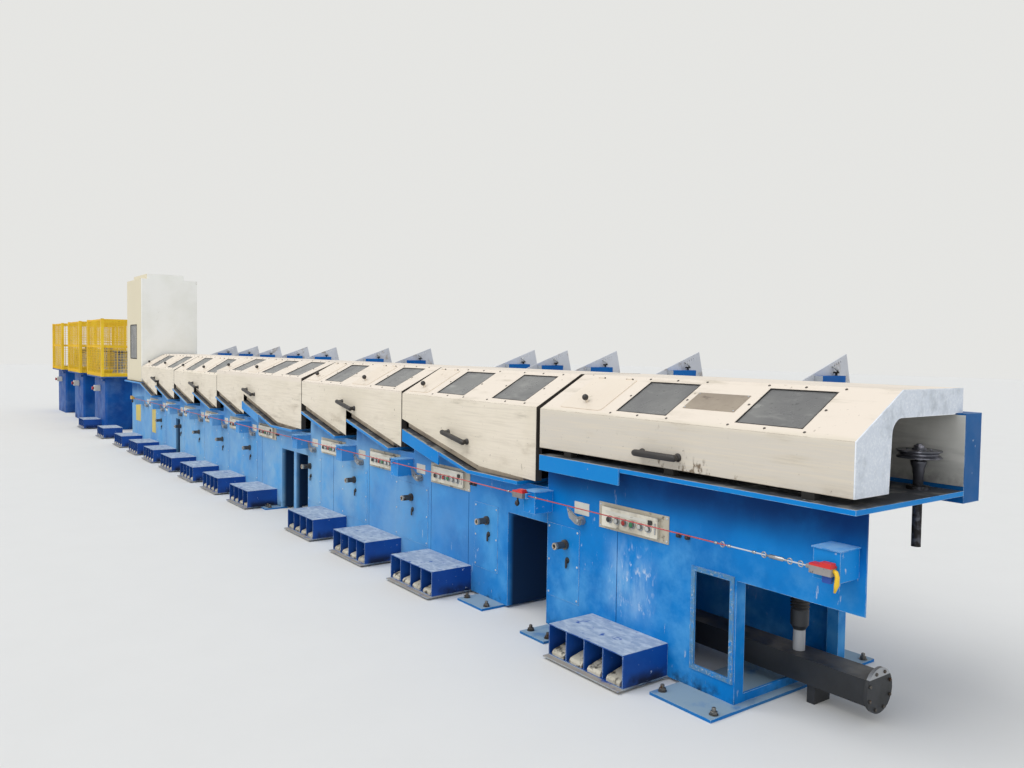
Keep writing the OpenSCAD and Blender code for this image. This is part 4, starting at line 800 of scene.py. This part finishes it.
SIGNAL_CAP = [(0.020, 0.105), (0.020, 0.120), (0.032, 0.124), (0.032, 0.138), (0.022, 0.144)]
skin("cage_switch_caps", placed(turned(SIGNAL_CAP), cage_switches, "front"), red_cap,
     smooth=True)

# Hoods, their windows and grips
# Folded sheet hoods in cream, lighter on the slope, scuffed and stained by hands and soap. The
# panes sit under the sheet in a black seal, held by pan-head screws; the grips are black tube.
SPANS = [(0, 1), (2, 3), (4, 5), (6, 7), (8, 8), (9, 9)]
FOLD_Z = [1.268 + r for r in (-0.006, -0.016, 0.042, 0.016, 0.002, -0.003)]
LAST_HOOD = len(SPANS) - 1
RIDGE_Y, RIDGE_Z, HOOD_FRONT = 0.285, 1.460, -0.050
END_SHADE = shade(0.22, 0.20, 0.18)


def pale_end(tree):
    """The unpainted end ring of the last hood, at the wire outlet."""
    return past(tree, X, -0.0125, -0.0115)


hood_paint = coat("hood_cream", shade(0.89, 0.85, 0.78), shade(0.85, 0.81, 0.73), [
    # The slope above the fold is warmer and painted a little lighter, as painted light where it
    # faces up; the last hood's front greyer
    (shade(0.885, 0.84, 0.78), 0.5, lambda t: past(t, Z, 1.262, 1.285)),
    (shade(0.80, 0.77, 0.72), 0.6, lambda t: both(
        t, past(t, X, -2.05, -1.95), past(t, Z, 1.28, 1.24))),
    # Smears along the line, stains at the lower edge, scuffs and fine brushing on the front
    (shade(0.75, 0.71, 0.64), 0.65, lambda t: both(
        t, patches(t, 14.0, 0.50, 0.76, (0.22, 1.0, 1.6)), patches(t, 2.0, 0.4, 0.6))),
    (shade(0.70, 0.65, 0.57), 0.7, lambda t: both(
        t, past(t, Z, 1.12, 1.01), patches(t, 8.0, 0.48, 0.75, (0.4, 1.0, 1.0)))),
    (shade(0.58, 0.53, 0.46), 0.7, lambda t: both(
        t, patches(t, 30.0, 0.62, 0.70, (1.0, 1.0, 0.5)), patches(t, 3.0, 0.5, 0.62))),
    (shade(0.83, 0.79, 0.72), 0.65, lambda t: both(
        t, past(t, Z, 1.30, 1.24), patches(t, 22.0, 0.42, 0.74, (0.12, 1.0, 4.0)))),
    # Specks, chips on the front, hand marks beside the last grip and worn edges
    (shade(0.34, 0.30, 0.26), 0.8, lambda t: patches(t, 70.0, 0.70, 0.73)),
    (shade(0.30, 0.26, 0.22), 0.8, lambda t: both(
        t, past(t, Z, 1.26, 1.12), patches(t, 40.0, 0.67, 0.71, (1.0, 1.0, 0.6)))),
    (shade(0.46, 0.40, 0.33), 0.8, lambda t: both(
        t, inside(t, X, -1.10, -0.74, 0.05), inside(t, Z, 1.02, 1.105, 0.02),
        patches(t, 34.0, 0.54, 0.64, (1.0, 1.0, 0.5)))),
    (shade(0.58, 0.53, 0.46), 0.7, lambda t: edges(t, 0.005)),
    # Painted shade on the end faces between the hoods, and the pale, mottled end ring of the last
    # one
    (END_SHADE, 0.8, lambda t: looks(t, "outlet")),
    (END_SHADE, 0.8, lambda t: looks(t, "inlet")),
    (shade(0.81, 0.84, 0.88), 0.5, pale_end),
    (shade(0.90, 0.92, 0.94), 0.6, lambda t: both(t, pale_end(t), patches(t, 90.0, 0.40, 0.80))),
    (shade(0.66, 0.69, 0.72), 0.7, lambda t: both(t, pale_end(t), patches(t, 9.0, 0.48, 0.80))),
    (shade(0.96, 0.97, 0.98), 0.6, lambda t: both(t, pale_end(t), edges(t, 0.008))),
], rough=(0.42, 0.6), patch=1.4, dent=0.14)
grip_black = coat("grip_black", shade(0.13, 0.12, 0.12), shade(0.20, 0.18, 0.17), [
    (shade(0.34, 0.30, 0.27), 0.6, lambda t: patches(t, 45.0, 0.58, 0.7))], rough=(0.3, 0.5))
PANE_W, PANE_LOW, PANE_H, SCREW_OUT = 0.350, 0.050, 0.295, 0.022
# Screws of one window: along the line and up the slope from the window's left lower corner
WINDOW_SCREWS = [
    (-SCREW_OUT, -SCREW_OUT), (PANE_W / 2, -SCREW_OUT), (PANE_W + SCREW_OUT, -SCREW_OUT),
    (-SCREW_OUT, PANE_H / 2), (PANE_W + SCREW_OUT, PANE_H / 2),
    (-SCREW_OUT, PANE_H + SCREW_OUT), (PANE_W / 2, PANE_H + SCREW_OUT),
    (PANE_W + SCREW_OUT, PANE_H + SCREW_OUT)
]
SEAL_IN, SEAL_DEEP, SEAL_WIDE = 0.010, -0.0042, 0.0045
# Each hood's grip: its middle from the hood's left end, its height and its droop in degrees
GRIP_AT = [(0.955, 1.098, 10), (1.035, 1.102, 10), (1.180, 1.118, 10), (0.995, 1.127, 10),
           (0.765, 1.020, 10), (0.970, 1.102, 0)]
GRIP_HALF, GRIP_OUT, FOOT_IN = 0.131, 0.042, 0.014
GRIP_RUN = np.array([-1.09, -1.07, -1.0, -0.86, 0, 0.86, 1.0, 1.07, 1.09])[:, None] * GRIP_HALF
GRIP_RADII = [0.006, 0.0125, 0.0168, 0.0172, 0.0172, 0.0172, 0.0168, 0.0125, 0.006]
FOOT_RUN = (-0.002, 0.020, 0.034, 0.036, 0.0418)
FOOT_RADII = [0.0150, 0.0150, 0.0152, 0.0200, 0.0210]


def windows_of(i):
    """Left edges of a station's windows."""
    offsets = (0.420, 1.090) if STATION_LENS[i] > 1 else (0.420,)
    return [station_x[i] + d for d in ((0.612, 1.377) if i == OUTLET else offsets)]


def slope_of(k):
    """Axes of a hood's slope: along the line, up the slope and out of it."""
    tilt = math.atan2(RIDGE_Z - FOLD_Z[k], RIDGE_Y - HOOD_FRONT)
    return np.array([
        [1, 0, 0], [0, math.cos(tilt), math.sin(tilt)], [0, -math.sin(tilt), math.cos(tilt)]])


def on_slope(rings, k, places):
    """Shapes on a hood's slope: each place is along the line, up the slope and out of it."""
    at = np.asarray(places, float) @ slope_of(k) + np.array([0, HOOD_FRONT, FOLD_Z[k]])
    return placed(rings, at, slope_of(k))


for k, (first_station, last_station) in enumerate(SPANS):
    body = f"hood_body_{k + 1}"
    dress(hood_paint, f"hood_{k + 1}")
    dress(pane_smoke, f"windows_{k + 1}")
    lefts = [x for i in range(first_station, last_station + 1) for x in windows_of(i)]
    heads = [(x + dx, PANE_LOW + up, 0.0) for x in lefts for dx, up in WINDOW_SCREWS]
    skin(f"window_screws_{k + 1}", on_slope(PAN_HEAD, k, heads), stub_steel, body,
         smooth=True)
    frame_rings = seal(PANE_W - SEAL_IN, PANE_H - SEAL_IN, SEAL_WIDE, SEAL_WIDE, 0.008)
    skin(f"window_seals_{k + 1}", on_slope(frame_rings, k, [
        (x + PANE_W / 2, PANE_LOW + PANE_H / 2, SEAL_DEEP) for x in lefts
    ]), rubber, body, loop=True)
    from_left, height, droop = GRIP_AT[k]
    run = np.array([math.cos(math.radians(droop)), 0, -math.sin(math.radians(droop))])
    centre = np.array([station_x[first_station] + from_left, HOOD_FRONT - GRIP_OUT, height])
    skin(f"grip_{k + 1}", bent(centre + GRIP_RUN * run, GRIP_RADII, 20), grip_black, body,
         smooth=True)
    skin(f"grip_feet_{k + 1}", np.concatenate([
        bent([centre + side * (GRIP_HALF - FOOT_IN) * run + np.array([0, y, 0])
              for y in FOOT_RUN], FOOT_RADII, 20) for side in (-1, 1)
    ]), grip_black, body, smooth=True)

worn_plate = coat("bare_plate_brown", shade(0.64, 0.59, 0.52), shade(0.54, 0.49, 0.43), [
    (shade(0.44, 0.39, 0.34), 0.5, lambda t: patches(t, 30.0, 0.56, 0.70, (0.4, 1.0, 1.0)))
], rough=(0.35, 0.5))
PLATE_X, PLATE_UP, PIN_OUT, PIN_UP, PIN_ON = -0.836, 0.198, 0.146, 0.062, 0.0014
PIN = turned([(0.004, 0), (0.004, 0.002), (0.002, 0.003)], 10)
skin("bare_plate", on_slope(slab(0.312, 0.144, 0.0015, 0.004, 0.0004), LAST_HOOD, [
    (PLATE_X, PLATE_UP, 0.0)]), worn_plate, "hood_body_6")
skin("bare_plate_pins", on_slope(PIN, LAST_HOOD, [
    (PLATE_X + sx * PIN_OUT, PLATE_UP + sy * PIN_UP, PIN_ON) for sx in (-1, 1) for sy in (-1, 1)
]), screw_steel, "hood_body_6", smooth=True)

# Hatches
# Small cream flaps beside the windows, hinged at the top, each lifted by a dark ball knob.
hatch_paint = coat("hatch_cream", shade(0.895, 0.85, 0.785), shade(0.87, 0.82, 0.75), [
    (shade(0.76, 0.71, 0.63), 0.7, lambda t: patches(t, 11.0, 0.60, 0.76)),
    (shade(0.40, 0.35, 0.30), 0.8, lambda t: patches(t, 60.0, 0.69, 0.74))
], patch=1.4, dent=0.14)
HATCH_LOW, KNOB_UP, KNOB_OUT, KNOB_R = 0.035, 0.070, 0.0319, 0.0178
knob_angles = np.linspace(-0.46 * np.pi, 0.5 * np.pi, 12)[:-1]
KNOB = turned([(KNOB_R * math.cos(a), KNOB_R * math.sin(a)) for a in knob_angles]
              + [(0.0006, KNOB_R)], 24)
for i in range(OUTLET + 1):
    k = next(n for n, (a, b) in enumerate(SPANS) if a <= i <= b)
    from_left, wide = (0.160, 0.345) if i == OUTLET else (0.030, 0.290)
    knob_x = station_x[i] + from_left + wide / 2
    dress(hatch_paint, f"hatch_{i + 1}")
    skin(f"hatch_knob_{i + 1}", on_slope(KNOB, k, [(knob_x, HATCH_LOW + KNOB_UP, KNOB_OUT)]),
         grip_black, f"hatch_body_{i + 1}", smooth=True)

# Floor and light
# A plain pale floor under a soft overhead panel and a wide soft lamp from the operator's side.
floor_mesh = bpy.data.meshes.new("floor")
floor_mesh.from_pydata([(-60, -45, 0), (45, -45, 0), (45, 60, 0), (-60, 60, 0)], [],
                       [(0, 1, 2, 3)])
floor_mesh.materials.append(coat("floor_pale", shade(0.86, 0.86, 0.85), shade(0.855, 0.855, 0.845),
                                 rough=(0.75, 0.8), dent=0.0))
floor = bpy.data.objects.new("floor", floor_mesh)
bpy.context.scene.collection.objects.link(floor)
SKY_LIGHT, BACKGROUND = shade(0.97, 0.98, 1.0), shade(0.90, 0.90, 0.89)
LIGHT_POWER, SEEN_POWER = 0.62, 1.0
world = bpy.data.worlds.new("pale_room")
bpy.context.scene.world = world
world.use_nodes = True
tree = world.node_tree
sky = tree.nodes["Background"]
rays = tree.nodes.new("ShaderNodeLightPath").outputs
seen = result_of(tree, "MAXIMUM", rays["Is Camera Ray"], rays["Is Transmission Ray"])
seen = result_of(tree, "MAXIMUM", seen, rays["Is Glossy Ray"])
plug(tree, over(tree, seen, SKY_LIGHT, BACKGROUND), sky.inputs["Color"])
plug(tree, over(tree, seen, LIGHT_POWER, SEEN_POWER), sky.inputs["Strength"])
for lamp_name, power, spread, shines_to in (
        ("soft_sun", 1.55, 50, (0.25, 0.66, -1.0)), ("front_sun", 0.85, 70, (-0.9, 0.60, -0.40))):
    lamp = bpy.data.lights.new(lamp_name, "SUN")
    lamp.energy = power
    lamp.angle = math.radians(spread)
    holder = bpy.data.objects.new(lamp_name, lamp)
    holder.rotation_euler = Vector(shines_to).to_track_quat("-Z", "Y").to_euler()
    bpy.context.scene.collection.objects.link(holder)
bpy.context.scene.view_settings.view_transform = "Standard"
